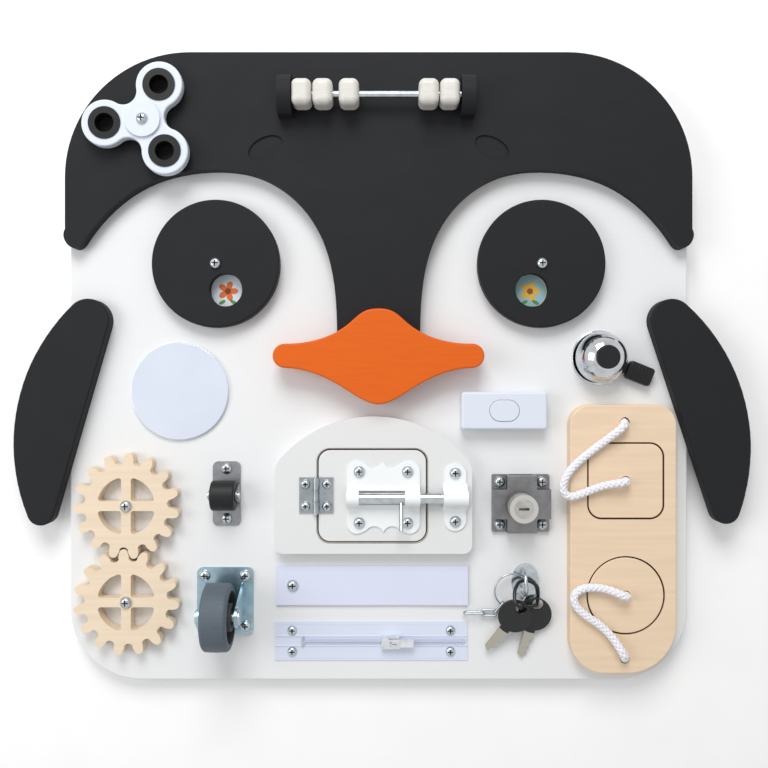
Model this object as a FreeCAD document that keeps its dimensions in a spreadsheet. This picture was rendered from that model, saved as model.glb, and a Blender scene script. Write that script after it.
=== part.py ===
import FreeCAD, Part
import Sketcher
import math
import os
import re

from FreeCAD import Placement, Rotation, Vector

# Driving sizes in millimetres and degrees. X runs to the right, Y towards the top of the
# figure, Z out of the front face. The origin is the middle of the board's back face.
SIZES = {
    # Board and the sheet stock that every overlaid plate is cut from
    "board_half_width": 216.0,
    "board_half_height": 217.8,
    "board_thickness": 12.0,
    "board_top_corner": 86.0,
    "board_bottom_corner": 50.0,
    "stock_thickness": 10.0,
    "edge_round": 1.2,
    # Clearances
    "running_gap": 0.3,
    "pin_fit": 0.06,
    "screw_fit": 0.05,
    # Screws
    "screw_shank": 1.75,
    "pivot_screw_length": 20.0,
    "spinner_screw_length": 31.0,
    "fitting_screw_length": 9.0,
    "door_screw_length": 8.0,
    "rear_screw_length": 20.0,
    "long_screw_length": 30.0,
    "screw_head": 4.0,
    "screw_head_height": 2.4,
    "screw_grip": 9.0,
    "small_screw_head": 3.4,
    "small_screw_head_height": 1.8,
    "countersink": 3.8,
    "recess_width": 0.9,
    "recess_length": 4.4,
    "recess_depth": 1.2,
    "washer_radius": 7.0,
    "washer_height": 0.8,
    # Hood
    "brow_x": 78.0,
    "brow_y": 152.0,
    "brow_long": 12.8,
    "brow_short": 7.4,
    "brow_tilt": 27.0,
    "brow_depth": 1.3,
    # Flippers: an outer arc between two round ends
    "flipper_overhang": 35.8,
    "flipper_arc_y": -52.0,
    "flipper_arc_radius": 133.5,
    "flipper_top_radius": 15.0,
    "flipper_top_angle": 134.0,
    "flipper_tip_radius": 9.5,
    "flipper_tip_angle": 202.2,
    "flipper_right_turn": 2.1,
    "flipper_right_shift": 2.0,
    # Eye discs
    "eye_x": 112.5,
    "eye_y": 72.5,
    "eye_radius": 44.0,
    "disc_thickness": 8.7,
    "window_radius": 11.5,
    "window_offset": 19.5,
    "window_angle_left": -69.0,
    "window_angle_right": -110.0,
    "print_radius": 34.0,
    "print_thickness": 0.3,
    # Mirror
    "mirror_x": -139.0,
    "mirror_y": -15.6,
    "mirror_radius": 34.0,
    "mirror_thickness": 2.5,
    # Hand spinner
    "spinner_x": -159.6,
    "spinner_y": 168.4,
    "spinner_lobe_offset": 26.0,
    "spinner_lobe_radius": 15.8,
    "spinner_waist": 14.5,
    "spinner_angle": 65.0,
    "spinner_thickness": 7.0,
    "spinner_lift": 3.2,
    "ring_outer": 11.0,
    "ring_inner": 6.5,
    "ring_proud": 0.6,
    "bearing_outer": 11.0,
    "race_wall": 1.9,
    "hub_cap_radius": 12.0,
    "hub_cap_height": 1.6,
    # Abacus
    "rod_y": 185.3,
    "rod_height": 10.0,
    "rod_radius": 2.3,
    "post_left_x": -63.7,
    "post_right_x": 60.7,
    "post_width": 9.4,
    "post_length": 27.0,
    "post_height": 18.5,
    "post_socket": 5.0,
    "bead_length": 13.6,
    "bead_side": 18.0,
    "bead_round": 4.4,
    "bead_bore": 2.65,
    "bead_1_gap": 11.8,
    "bead_2_gap": 14.3,
    "bead_3_gap": 17.7,
    "bead_4_gap": 14.2,
    "bead_5_gap": 12.7,
    # Gears
    "gear_x": -174.0,
    "gear_top_y": -94.8,
    "gear_distance": 66.3,
    "gear_teeth": 15.0,
    "gear_outer": 36.6,
    "gear_root": 28.4,
    "gear_backlash": 0.9,
    "gear_phase": 3.0,
    "gear_window_radius": 20.0,
    "gear_spoke": 6.6,
    "gear_window_corner": 1.8,
    # Roller and its bracket
    "roller_x": -106.3,
    "roller_y": -87.2,
    "roller_radius": 10.3,
    "roller_width": 16.6,
    "roller_axle_height": 12.0,
    "roller_axle_radius": 1.5,
    "roller_plate_width": 19.4,
    "roller_plate_length": 45.0,
    "roller_plate_corner": 4.0,
    "roller_ear_length": 14.0,
    "roller_screw_offset": 17.5,
    "bracket_sheet": 1.2,
    # Caster
    "caster_x": -107.2,
    "caster_y": -161.9,
    "caster_plate_width": 39.2,
    "caster_plate_length": 46.6,
    "caster_plate_corner": 4.0,
    "caster_sheet": 1.8,
    "caster_screw_x": 14.2,
    "caster_screw_y": 17.6,
    "caster_axle_offset": -4.5,
    "caster_axle_height": 27.5,
    "caster_axle_radius": 3.0,
    "caster_wheel_radius": 22.5,
    "caster_wheel_width": 19.0,
    "caster_tread": 5.0,
    "caster_hub_radius": 9.0,
    "caster_leg_gap": 2.2,
    "caster_leg_foot": 32.0,
    "caster_leg_end": 7.0,
    # Door panel, door and hinge
    "door_panel_left": -71.5,
    "door_panel_right": 64.4,
    "door_panel_bottom": -127.6,
    "door_panel_shoulder": -66.5,
    "door_panel_top": -32.9,
    "door_panel_corner": 6.0,
    "door_left": -41.3,
    "door_right": 32.6,
    "door_bottom": -119.0,
    "door_top": -56.2,
    "door_corner": 8.0,
    "door_groove": 1.6,
    "hinge_leaf_length": 24.7,
    "hinge_leaf_width": 11.5,
    "hinge_y": -87.2,
    "hinge_sheet": 0.9,
    "hinge_knuckle": 2.2,
    "hinge_pin": 1.1,
    "hinge_screw_x": 7.4,
    "hinge_screw_y": 7.6,
    # Barrel bolt
    "bolt_y": -88.5,
    "bolt_plate_left": -21.8,
    "bolt_plate_right": 28.3,
    "bolt_plate_half": 25.0,
    "bolt_sheet": 1.2,
    "bolt_rod_radius": 3.8,
    "bolt_rod_height": 6.6,
    "bolt_rod_left": -14.5,
    "bolt_rod_right": 54.0,
    "bolt_rod_play": 0.35,
    "bolt_flare": 9.5,
    "bolt_slot_left": -13.4,
    "bolt_slot_right": 17.9,
    "bolt_handle_x": 15.3,
    "bolt_handle_radius": 1.45,
    "bolt_handle_length": 23.0,
    "bolt_handle_rise": 25.0,
    "bolt_screw_x": 16.6,
    "bolt_screw_y": 17.6,
    "keeper_x": 52.6,
    "keeper_width": 17.0,
    "keeper_length": 46.0,
    "keeper_screw_y": 16.6,
    # Push switch
    "switch_x": 86.4,
    "switch_screw_offset": 24.0,
    "switch_y": -29.0,
    "switch_length": 59.2,
    "switch_width": 26.0,
    "switch_height": 12.0,
    "switch_round": 2.2,
    "switch_wall": 1.6,
    "button_length": 20.2,
    "button_width": 14.5,
    "button_proud": 0.6,
    "button_flange": 1.5,
    "switch_spring_radius": 3.0,
    # Bell
    "bell_inset": 62.0,
    "bell_y": 7.6,
    "bell_base_radius": 19.2,
    "bell_base_height": 2.0,
    "bell_dome_radius": 17.6,
    "bell_dome_bottom": 6.0,
    "bell_dome_top": 24.0,
    "bell_dome_wall": 1.2,
    "bell_cap_radius": 8.1,
    "bell_cap_height": 2.6,
    "bell_post_radius": 3.0,
    "bell_lever_angle": -22.0,
    "bell_lever_pivot": 11.0,
    "bell_lever_start": 20.0,
    "bell_lever_end": 38.4,
    "bell_lever_width": 12.9,
    "bell_lever_thickness": 5.0,
    "bell_arm_width": 7.0,
    "bell_arm_thickness": 2.4,
    # Drawer lock
    "lock_x": 98.9,
    "lock_y": -93.6,
    "lock_side": 40.0,
    "lock_height": 10.0,
    "lock_flange": 3.0,
    "lock_pocket": 9.8,
    "lock_screw_offset": 14.8,
    "lock_cylinder_x": 96.6,
    "lock_cylinder_radius": 9.5,
    "lock_cylinder_height": 22.0,
    "lock_plug_radius": 6.4,
    "lock_keyhole_length": 7.0,
    "lock_keyhole_width": 1.8,
    "lock_keyhole_depth": 9.0,
    "lock_tongue_width": 15.0,
    "lock_tongue_height": 5.0,
    "lock_tongue_length": 12.0,
    # Keys and their eye plate
    "eye_plate_x": 102.4,
    "eye_plate_y": -148.7,
    "eye_plate_half_width": 9.6,
    "eye_plate_half_length": 12.8,
    "eye_plate_thickness": 1.2,
    "bail_x": 101.0,
    "bail_half_span": 8.2,
    "bail_height": 12.5,
    "bail_radius": 1.1,
    "loop_radius": 1.2,
    "key_wire_radius": 0.6,
    "key_ring_radius": 11.8,
    "chain_half_width": 2.0,
    "chain_wire_radius": 0.8,
    "key_a_x": -7.2,
    "key_a_y": -21.1,
    "key_a_height": 10.0,
    "key_a_heading": 234.6,
    "key_a_tilt": 12.0,
    "key_b_x": 7.4,
    "key_b_y": -21.6,
    "key_b_height": 3.2,
    "key_b_heading": 254.1,
    "key_b_tilt": 5.0,
    "key_head_radius": 11.6,
    "key_thickness": 2.2,
    "key_blade_width": 7.0,
    "key_length": 32.0,
    "key_hole_radius": 3.9,
    "key_hole_offset": 7.2,
    # Rope panel
    "rope_panel_left": 131.8,
    "rope_panel_right": 205.3,
    "rope_panel_bottom": -210.3,
    "rope_panel_top": -24.9,
    "rope_panel_top_corner": 14.0,
    "rope_panel_left_corner": 24.0,
    "rope_panel_right_corner": 34.0,
    "inset_groove": 1.1,
    "square_x": 170.1,
    "square_y": -77.3,
    "square_side": 51.0,
    "square_corner": 9.0,
    "circle_x": 170.1,
    "circle_y": -156.2,
    "circle_radius": 26.0,
    "rope_radius": 3.0,
    "rope_hole": 3.3,
    "rope_end_height": 4.5,
    # Hook-and-loop strap
    "strap_left": -71.7,
    "strap_right": 62.3,
    "strap_y": -151.2,
    "strap_width": 27.4,
    "strap_strip_thickness": 0.8,
    "strap_flap_thickness": 1.0,
    "strap_screw_x": -60.0,
    "strap_fold_x": -52.0,
    # Zipper
    "zip_left": -72.8,
    "zip_right": 62.0,
    "zip_y": -190.3,
    "zip_width": 27.2,
    "zip_tape_thickness": 0.7,
    "zip_coil_width": 4.6,
    "zip_coil_height": 1.5,
    "zip_screw_left": -60.5,
    "zip_screw_right": 50.1,
    "zip_screw_y": 7.4,
    "zip_slider_x": 8.2,
    "zip_slider_length": 12.6,
    "zip_slider_width": 8.6,
    "zip_slider_height": 4.4,
    "zip_pull_length": 17.0,
    "zip_pull_width": 5.4,
    "zip_pull_thickness": 1.0,
    "zip_stop_x": -52.0,
}

# Places that follow from other sizes
TIED = {
    "flipper_arc_x": "board_half_width + flipper_overhang - flipper_arc_radius",
    "bell_x": "board_half_width - bell_inset",
    "bead_1_x": "post_left_x + bead_1_gap",
    "bead_2_x": "bead_1_x + bead_2_gap",
    "bead_3_x": "bead_2_x + bead_3_gap",
    "bead_5_x": "post_right_x - bead_5_gap",
    "bead_4_x": "bead_5_x - bead_4_gap",
}
# The half width at which the places across the board were read; when the board is made wider or
# narrower, each of these keeps its share of it
DRAWN_HALF_WIDTH = 216.0
ACROSS = (
    "brow_x eye_x mirror_x spinner_x post_left_x post_right_x gear_x roller_x caster_x door_panel_left "
    "door_panel_right door_left door_right bolt_plate_left bolt_plate_right bolt_rod_left bolt_rod_right "
    "bolt_slot_left bolt_slot_right bolt_handle_x keeper_x switch_x lock_x lock_cylinder_x eye_plate_x "
    "bail_x rope_panel_left rope_panel_right square_x circle_x strap_left strap_right strap_screw_x "
    "strap_fold_x zip_left zip_right zip_screw_left zip_screw_right zip_slider_x zip_stop_x").split()


def spread(points):
    """Points read at the drawn half width, moved with the board's."""
    return [(x * SIZES["board_half_width"] / DRAWN_HALF_WIDTH, *rest) for x, *rest in points]


# Free outlines, in millimetres, right half of the figure
ARCH = spread([(203.8, 86.6), (190.5, 104.0), (163.0, 125.6), (116.0, 137.2), (84.5, 133.3), (62.0, 120.6),
        (46.0, 102.6), (34.0, 75.1), (29.0, 39.9)])
HOOD_TIP = spread([(216.0, 96.0), (216.0, 88.0), (211.5, 83.5)])
LOBE_BOTTOM = spread([(28.6, 6.0)])[0]
BEAK_TOP = [(0.0, 40.6), (9.0, 39.0), (20.0, 30.5), (34.0, 22.1), (47.5, 18.1), (63.6, 16.7)]
BEAK_BOTTOM = [(63.6, 0.3), (47.5, -2.3), (34.0, -7.6), (20.0, -15.8), (8.0, -22.6), (0.0, -24.5)]
BEAK_TIP = (71.8, 8.5)

# Routes of the two ropes: X, Y and the height of the rope's middle over the board's face
ROPE_UPPER = spread([(169.6, -36.8, 4.0), (169.4, -37.0, 12.6), (165.4, -41.0, 17.2), (156.0, -48.6, 14.0),
              (143.0, -58.4, 13.4), (132.4, -67.6, 13.4), (126.4, -77.0, 13.4), (125.9, -84.6, 13.4),
              (130.6, -88.4, 13.4), (138.8, -86.0, 13.5), (150.0, -81.2, 14.0), (160.0, -78.6, 16.2),
              (168.0, -77.4, 18.0), (170.1, -77.3, 12.6), (170.1, -77.3, 5.0)])
ROPE_LOWER = spread([(169.5, -199.9, 4.0), (169.3, -199.5, 12.6), (166.6, -194.6, 17.2),
                     (160.6, -184.6, 14.0),
              (152.0, -175.8, 13.4), (141.6, -169.2, 13.4), (134.6, -162.6, 13.4), (133.0, -155.8, 13.4),
              (138.0, -150.8, 13.4), (147.6, -149.6, 13.6), (157.0, -151.0, 14.4), (163.6, -153.4, 17.0),
              (169.2, -155.9, 17.6), (170.1, -156.2, 12.2), (170.1, -156.2, 5.0)])
# The black loop through the bail and both key heads: X and Y from the bail, height over the face
KEY_LOOP = [(3.8, 2.0, 7.0), (-3.6, 2.0, 7.0), (-8.2, -3.9, 12.4), (-8.2, -11.3, 17.2),
            (-4.0, -14.5, 17.2), (-2.4, -15.5, 7.9), (8.4, -15.0, 7.7), (9.8, -14.5, 1.7),
            (10.2, -7.7, 2.6), (9.4, -2.3, 5.2)]
# Where the ring crosses the first chain link, and where the links meet, measured the same way
CHAIN = [(-15.8, -15.0, 3.87), (-21.0, -21.1, 3.6), (-29.5, -21.1, 3.6), (-39.6, -21.1, 3.6)]
# The wire ring on the bail: its middle, measured the same way, and the way that it leans
RING_MIDDLE = (-8.9, -5.4, 4.35)
RING_NORMAL = (0.12, -0.136, 1)

# Countersunk screws from the back: X and Y, and what they hold
HOOD_SCREWS = spread([(-180.0, 130.0), (-96.0, 196.0), (0.0, 196.0), (96.0, 196.0), (180.0, 130.0),
                      (0.0, 90.0)])
BEAK_SCREWS = [(-12.0, 16.0), (12.0, 16.0)]
FLIPPER_SCREWS = [(SIZES["board_half_width"] - 13.0, 26.0), (SIZES["board_half_width"] - 7.6, -8.0)]
DOOR_PANEL_SCREWS = spread([(-62.0, -120.0), (55.0, -120.0), (-50.0, -56.0), (43.0, -56.0)])
ROPE_PANEL_SCREWS = spread([(143.0, -40.0), (194.0, -40.0), (142.0, -190.0), (196.0, -185.0)])
BELL_AND_SWITCH_SCREWS = [("bell_x", "bell_y"), ("switch_x - switch_screw_offset", "switch_y"),
                          ("switch_x + switch_screw_offset", "switch_y")]

doc = FreeCAD.newDocument("busy_board")
sheet = doc.addObject("Spreadsheet::Sheet", "Sizes")
for row, (alias, value) in enumerate([*SIZES.items(), *TIED.items()], 1):
    formula = repr(value) if alias in SIZES else "=" + value
    if alias in ACROSS:
        formula = "=%r * board_half_width / %r" % (value, DRAWN_HALF_WIDTH)
    sheet.set("A%d" % row, alias)
    sheet.set("B%d" % row, formula)
    sheet.setAlias("B%d" % row, alias)
doc.recompute()
NAMES = {*SIZES, *TIED}

WORD = re.compile(r"[a-z][a-z_0-9]*")
FACE = "board_thickness"
DECK = "(board_thickness + stock_thickness)"
TURNING_BOTTOM = "(board_thickness + washer_height + running_gap)"
TURNING_TOP = "(board_thickness + washer_height + running_gap + disc_thickness)"


def linked(text):
    """An expression in which every size is a cell of the sheet."""
    return WORD.sub(lambda word: "Sizes." + word[0] if word[0] in NAMES else word[0], str(text))


def number(text):
    """The same expression as a plain number of millimetres or degrees."""
    plain = WORD.sub(lambda word: "(%r)" % float(sheet.get(word[0])) if word[0] in NAMES else word[0],
                     str(text))
    return FreeCAD.Units.parseQuantity(plain).Value


def bind(thing, **links):
    for name, text in links.items():
        thing.setExpression(name, linked(text))
    return thing


def place(thing, x="0", y="0", z="0"):
    for axis, text in (("x", x), ("y", y), ("z", z)):
        thing.setExpression("Placement.Base." + axis, linked(text))
    return thing


# Sketches and the solids made from them

def new_sketch(body, height="0", role="XY_Plane"):
    sketch = body.newObject("Sketcher::SketchObject", body.Label + "_sketch")
    plane = [item for item in body.Origin.OriginFeatures if item.Role == role][0]
    sketch.AttachmentSupport = [(plane, "")]
    sketch.MapMode = "FlatFace"
    sketch.setExpression("AttachmentOffset.Base.z", linked(height))
    return sketch


def hold(sketch, kind, *terms):
    """A constraint whose value, the last term, is tied to the sheet."""
    index = sketch.addConstraint(Sketcher.Constraint(kind, *terms[:-1], number(terms[-1])))
    sketch.setExpression("Constraints[%d]" % index, linked(terms[-1]))


def circle(sketch, x, y, radius):
    middle = Vector(number(x), number(y), 0)
    index = sketch.addGeometry(Part.Circle(middle, Vector(0, 0, 1), number(radius)), False)
    hold(sketch, "Radius", index, radius)
    hold(sketch, "DistanceX", -1, 1, index, 3, x)
    hold(sketch, "DistanceY", -1, 1, index, 3, y)


def rounded_box(sketch, left, right, bottom, top, corners):
    """Four sides and four corner arcs; corners are the radii from bottom left, anticlockwise."""
    x = [number(left), number(right)]
    y = [number(bottom), number(top)]
    radii = [number(radius) for radius in corners]
    spots = [(x[0], y[0], 1, 1), (x[1], y[0], -1, 1), (x[1], y[1], -1, -1), (x[0], y[1], 1, -1)]
    arcs = []
    for turn, (spot, radius) in enumerate(zip(spots, radii)):
        middle = Vector(spot[0] + spot[2] * radius, spot[1] + spot[3] * radius, 0)
        whole = Part.Circle(middle, Vector(0, 0, 1), radius)
        start = math.pi + turn * math.pi / 2
        arcs.append(sketch.addGeometry(Part.ArcOfCircle(whole, start, start + math.pi / 2), False))
    sides = []
    for turn in range(4):
        one = sketch.getPoint(arcs[turn], 2)
        two = sketch.getPoint(arcs[(turn + 1) % 4], 1)
        sides.append(sketch.addGeometry(Part.LineSegment(one, two), False))
    for turn in range(4):
        sketch.addConstraint(Sketcher.Constraint("Tangent", arcs[turn], 2, sides[turn], 1))
        sketch.addConstraint(Sketcher.Constraint("Tangent", sides[turn], 2, arcs[(turn + 1) % 4], 1))
        direction = "Vertical" if turn % 2 else "Horizontal"
        sketch.addConstraint(Sketcher.Constraint(direction, sides[turn]))
        hold(sketch, "Radius", arcs[turn], corners[turn])
    hold(sketch, "DistanceY", -1, 1, sides[0], 1, bottom)
    hold(sketch, "DistanceX", -1, 1, sides[1], 1, right)
    hold(sketch, "DistanceY", -1, 1, sides[2], 1, top)
    hold(sketch, "DistanceX", -1, 1, sides[3], 1, left)


def trace(sketch, start, *runs):
    """A closed outline from lines, three-point arcs and curves through points."""
    here = Vector(start[0], start[1], 0)
    for kind, *points in runs:
        ends = [Vector(point[0], point[1], 0) for point in points]
        if kind == "line":
            sketch.addGeometry(Part.LineSegment(here, ends[-1]), False)
        elif kind == "arc":
            sketch.addGeometry(Part.Arc(here, ends[0], ends[-1]), False)
        else:
            curve = Part.BSplineCurve()
            curve.interpolate([here] + ends)
            sketch.addGeometry(curve, False)
        here = ends[-1]


def plate(label, draw, thickness, x="0", y="0", z="0", round_over=None, both_faces=False):
    """A flat piece: one closed outline padded to its thickness, its outer edges rounded over."""
    body = doc.addObject("PartDesign::Body", label)
    body.Label = label
    sketch = new_sketch(body)
    draw(sketch)
    pad = body.newObject("PartDesign::Pad", label + "_pad")
    pad.Profile = sketch
    bind(pad, Length=thickness)
    if round_over:
        doc.recompute()
        levels = [number(thickness)] + ([0.0] if both_faces else [])
        fillet = body.newObject("PartDesign::Fillet", label + "_round")
        fillet.Base = (pad, outer_edges(pad.Shape, levels))
        bind(fillet, Radius=round_over)
    return place(body, x, y, z)


def outer_edges(shape, levels):
    """Names of the edges of the outer outline that lie flat at one of the levels."""
    names = []
    for face in shape.Faces:
        level = face.CenterOfMass.z
        if face.BoundBox.ZLength < 1e-6 and min(abs(level - wanted) for wanted in levels) < 1e-6:
            for edge in face.OuterWire.Edges:
                for index, other in enumerate(shape.Edges, 1):
                    if edge.isSame(other):
                        names.append("Edge%d" % index)
    return names


def carve(body, draw, depth, height, through=False):
    """A pocket cut downwards from a height; it must take material away."""
    doc.recompute()
    before = body.Shape.Volume
    sketch = new_sketch(body, height)
    draw(sketch)
    pocket = body.newObject("PartDesign::Pocket", body.Label + "_pocket")
    pocket.Profile = sketch
    if through:
        pocket.Type = "ThroughAll"
    else:
        bind(pocket, Length=depth)
    doc.recompute()
    if not body.Shape.Volume < before - 1e-3:
        raise RuntimeError("pocket of %s cuts nothing" % body.Label)
    return body


def countersunk(body, spots):
    """Through holes with countersinks on the back face."""
    doc.recompute()
    sketch = new_sketch(body)
    for x, y in spots:
        circle(sketch, x, y, "screw_shank + screw_fit")
    doc.recompute()
    hole = body.newObject("PartDesign::Hole", body.Label + "_holes")
    hole.Profile = sketch
    hole.DepthType = "ThroughAll"
    hole.HoleCutType = "Countersink"
    hole.HoleCutCustomValues = True
    hole.HoleCutCountersinkAngle = 90
    hole.Reversed = True
    bind(hole, Diameter="2 * (screw_shank + screw_fit)", HoleCutDiameter="2 * countersink")
    return body


# Plain solids, each tied to the sheet

TURNS = {
    "z": Rotation(),
    "x": Rotation(Vector(0, 1, 0), 90),
    "y": Rotation(Vector(1, 0, 0), -90),
}


def block(length, width, height, x, y, z):
    """A box centred on x and y that stands on z."""
    box = doc.addObject("Part::Box", "block")
    bind(box, Length=length, Width=width, Height=height)
    return place(box, "(%s) - (%s) / 2" % (x, length), "(%s) - (%s) / 2" % (y, width), z)


def cylinder(radius, height, x, y, z, along="z"):
    rod = doc.addObject("Part::Cylinder", "cylinder")
    bind(rod, Radius=radius, Height=height)
    rod.Placement = Placement(Vector(), TURNS[along])
    return place(rod, x, y, z)


def named(thing, label):
    thing.Label = label
    return thing


def fuse(*parts):
    union = doc.addObject("Part::MultiFuse", "union")
    union.Shapes = list(parts)
    union.Refine = True
    return union


def cut(base, *tools):
    result = doc.addObject("Part::Cut", "cut")
    result.Base = base
    result.Tool = fuse(*tools) if len(tools) > 1 else tools[0]
    return result


def group(label, *parts):
    bundle = doc.addObject("Part::Compound", label)
    bundle.Links = list(parts)
    return named(bundle, label)


def formed(label, shape):
    """A piece whose form neither a sketch nor a primitive gives."""
    piece = doc.addObject("Part::Feature", label)
    piece.Shape = shape
    return named(piece, label)


# Screws

def pan_screw(head, head_height, length):
    """A pan-head wood screw whose head rests on z = 0, with a cross recess."""
    shank = number("screw_shank")
    dome = [Vector(head, 0, 0), Vector(0.86 * head, 0, 0.62 * head_height), Vector(0, 0, head_height)]
    profile = Part.Wire([
        Part.LineSegment(Vector(0, 0, -length), Vector(shank, 0, 1.6 * shank - length)).toShape(),
        Part.LineSegment(Vector(shank, 0, 1.6 * shank - length), Vector(shank, 0, 0)).toShape(),
        Part.LineSegment(Vector(shank, 0, 0), dome[0]).toShape(),
        Part.Arc(*dome).toShape(),
        Part.LineSegment(dome[2], Vector(0, 0, -length)).toShape(),
    ])
    solid = Part.Face(profile).revolve(Vector(), Vector(0, 0, 1), 360)
    wide = number("recess_width")
    across = number("recess_length") * head / number("screw_head")
    deep = number("recess_depth")
    for x, y in ((across, wide), (wide, across)):
        slot = Part.makeBox(x, y, 2 * deep, Vector(-x / 2, -y / 2, head_height - deep))
        solid = solid.cut(slot)
    return solid


def flat_screw(length):
    """A countersunk screw driven from the back, its flat head flush with z = 0."""
    shank = number("screw_shank")
    head = number("countersink")
    profile = Part.makePolygon([
        Vector(0, 0, 0), Vector(head - 0.1, 0, 0), Vector(shank, 0, head - 0.1 - shank),
        Vector(shank, 0, length - 1.6 * shank), Vector(0, 0, length), Vector(0, 0, 0)])
    solid = Part.Face(profile).revolve(Vector(), Vector(0, 0, 1), 360)
    wide = number("recess_width")
    across = number("recess_length")
    deep = number("recess_depth")
    for x, y in ((across, wide), (wide, across)):
        solid = solid.cut(Part.makeBox(x, y, deep, Vector(-x / 2, -y / 2, 0)))
    return solid


def screws_at(places):
    """Copies of pan screws: each place is x, y, the height under the head, length and size."""
    solids = []
    for x, y, z, length, small in places:
        head = number("small_screw_head" if small else "screw_head")
        tall = number("small_screw_head_height" if small else "screw_head_height")
        solid = pan_screw(head, tall, number(length))
        solid.translate(Vector(number(x), number(y), number(z)))
        solids.append(solid)
    return solids


# Bent wires and ropes: straight runs joined by tangent arcs

def rounded_path(points, closed=False):
    """Straight runs through the points with the largest tangent arc at each bend."""
    count = len(points)
    bends = range(count) if closed else range(1, count - 1)
    trims = {}
    radii = []
    for index in bends:
        back = points[index - 1] - points[index]
        ahead = points[(index + 1) % count] - points[index]
        turn = math.pi - back.getAngle(ahead)
        reach = 0.45 * min(back.Length, ahead.Length)
        radii.append(reach / math.tan(turn / 2))
        middle = back.normalize() + ahead.normalize()
        middle.normalize()
        drop = radii[-1] / math.cos(turn / 2) - radii[-1]
        trims[index] = (points[index] + back * reach, points[index] + middle * drop,
                        points[index] + ahead * reach)
    edges = []
    for index in range(count if closed else count - 1):
        following = (index + 1) % count
        start = trims[index][2] if index in trims else points[index]
        end = trims[following][0] if following in trims else points[following]
        edges.append(Part.LineSegment(start, end).toShape())
        if following in trims:
            edges.append(Part.Arc(*trims[following]).toShape())
    return Part.Wire(edges), radii


def tube(points, radius, closed=False, name=None):
    """A round tube along a rounded path; its volume is held against section times length."""
    path, radii = rounded_path(points, closed)
    halves = [path.Edges]
    if closed:
        middle = len(path.Edges) // 2
        halves = [path.Edges[:middle], path.Edges[middle:]]
    swept = []
    for edges in halves:
        start = edges[0].valueAt(edges[0].FirstParameter)
        along = edges[0].tangentAt(edges[0].FirstParameter)
        ring = Part.Wire(Part.Circle(start, along, radius).toShape())
        swept.append(Part.Wire(edges).makePipeShell([ring], True, False))
    solid = swept[0].fuse(swept[1]) if closed else swept[0]
    expected = math.pi * radius ** 2 * path.Length
    if abs(solid.Volume - expected) > 0.02 * expected:
        raise RuntimeError("tube %s has volume %.1f, not %.1f" % (name, solid.Volume, expected))
    if name:
        print("%s: length %.1f mm, smallest bend radius %.1f mm" % (name, path.Length, min(radii)))
    return solid


def on_face(points, x="0", y="0"):
    """Points given from a place on the board's face, in the part's frame."""
    start = Vector(number(x), number(y), number(FACE))
    return [start + Vector(*point) for point in points]


# Board, hood, flippers and beak

def mirrored(points):
    return [(-x, y) for x, y in reversed(points)]


def board_outline(sketch):
    rounded_box(sketch, "-board_half_width", "board_half_width", "-board_half_height", "board_half_height",
                ["board_bottom_corner", "board_bottom_corner", "board_top_corner", "board_top_corner"])


def hood_outline(sketch):
    side = number("board_half_width")
    top = number("board_half_height")
    corner = number("board_top_corner")
    slant = corner * (1 - math.sqrt(0.5))
    inner = ARCH + [LOBE_BOTTOM]
    trace(sketch, (side, HOOD_TIP[0][1]),
          ("line", (side, top - corner)),
          ("arc", (side - slant, top - slant), (side - corner, top)),
          ("line", (corner - side, top)),
          ("arc", (slant - side, top - slant), (-side, top - corner)),
          ("line", (-side, HOOD_TIP[0][1])),
          ("curve", *mirrored(HOOD_TIP[1:])[::-1], mirrored(ARCH)[-1]),
          ("curve", *mirrored(inner[1:-1])[::-1], (-inner[-1][0], inner[-1][1])),
          ("line", inner[-1]),
          ("curve", *inner[-2::-1]),
          ("curve", HOOD_TIP[2], HOOD_TIP[1], HOOD_TIP[0]))


def brow_outline(side):
    def draw(sketch):
        middle = Vector(side * number("brow_x"), number("brow_y"), 0)
        tilt = math.radians(-side * number("brow_tilt"))
        axis = Vector(math.cos(tilt), math.sin(tilt), 0)
        across = Vector(-axis.y, axis.x, 0)
        sketch.addGeometry(Part.Ellipse(middle + axis * number("brow_long"),
                                        middle + across * number("brow_short"), middle), False)
    return draw


def beak_outline(sketch):
    trace(sketch, BEAK_TIP,
          ("arc", (BEAK_TOP[-1][0] + 5.8, 14.3), BEAK_TOP[-1]),
          ("curve", *BEAK_TOP[-2:0:-1], BEAK_TOP[0], *mirrored(BEAK_TOP)[::-1][1:]),
          ("arc", (-BEAK_TIP[0], BEAK_TIP[1]), (-BEAK_BOTTOM[0][0], BEAK_BOTTOM[0][1])),
          ("curve", *[(-x, y) for x, y in BEAK_BOTTOM[1:-1]], BEAK_BOTTOM[-1], *BEAK_BOTTOM[-2::-1]),
          ("arc", (BEAK_BOTTOM[0][0] + 5.8, 2.7), BEAK_TIP))


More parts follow.
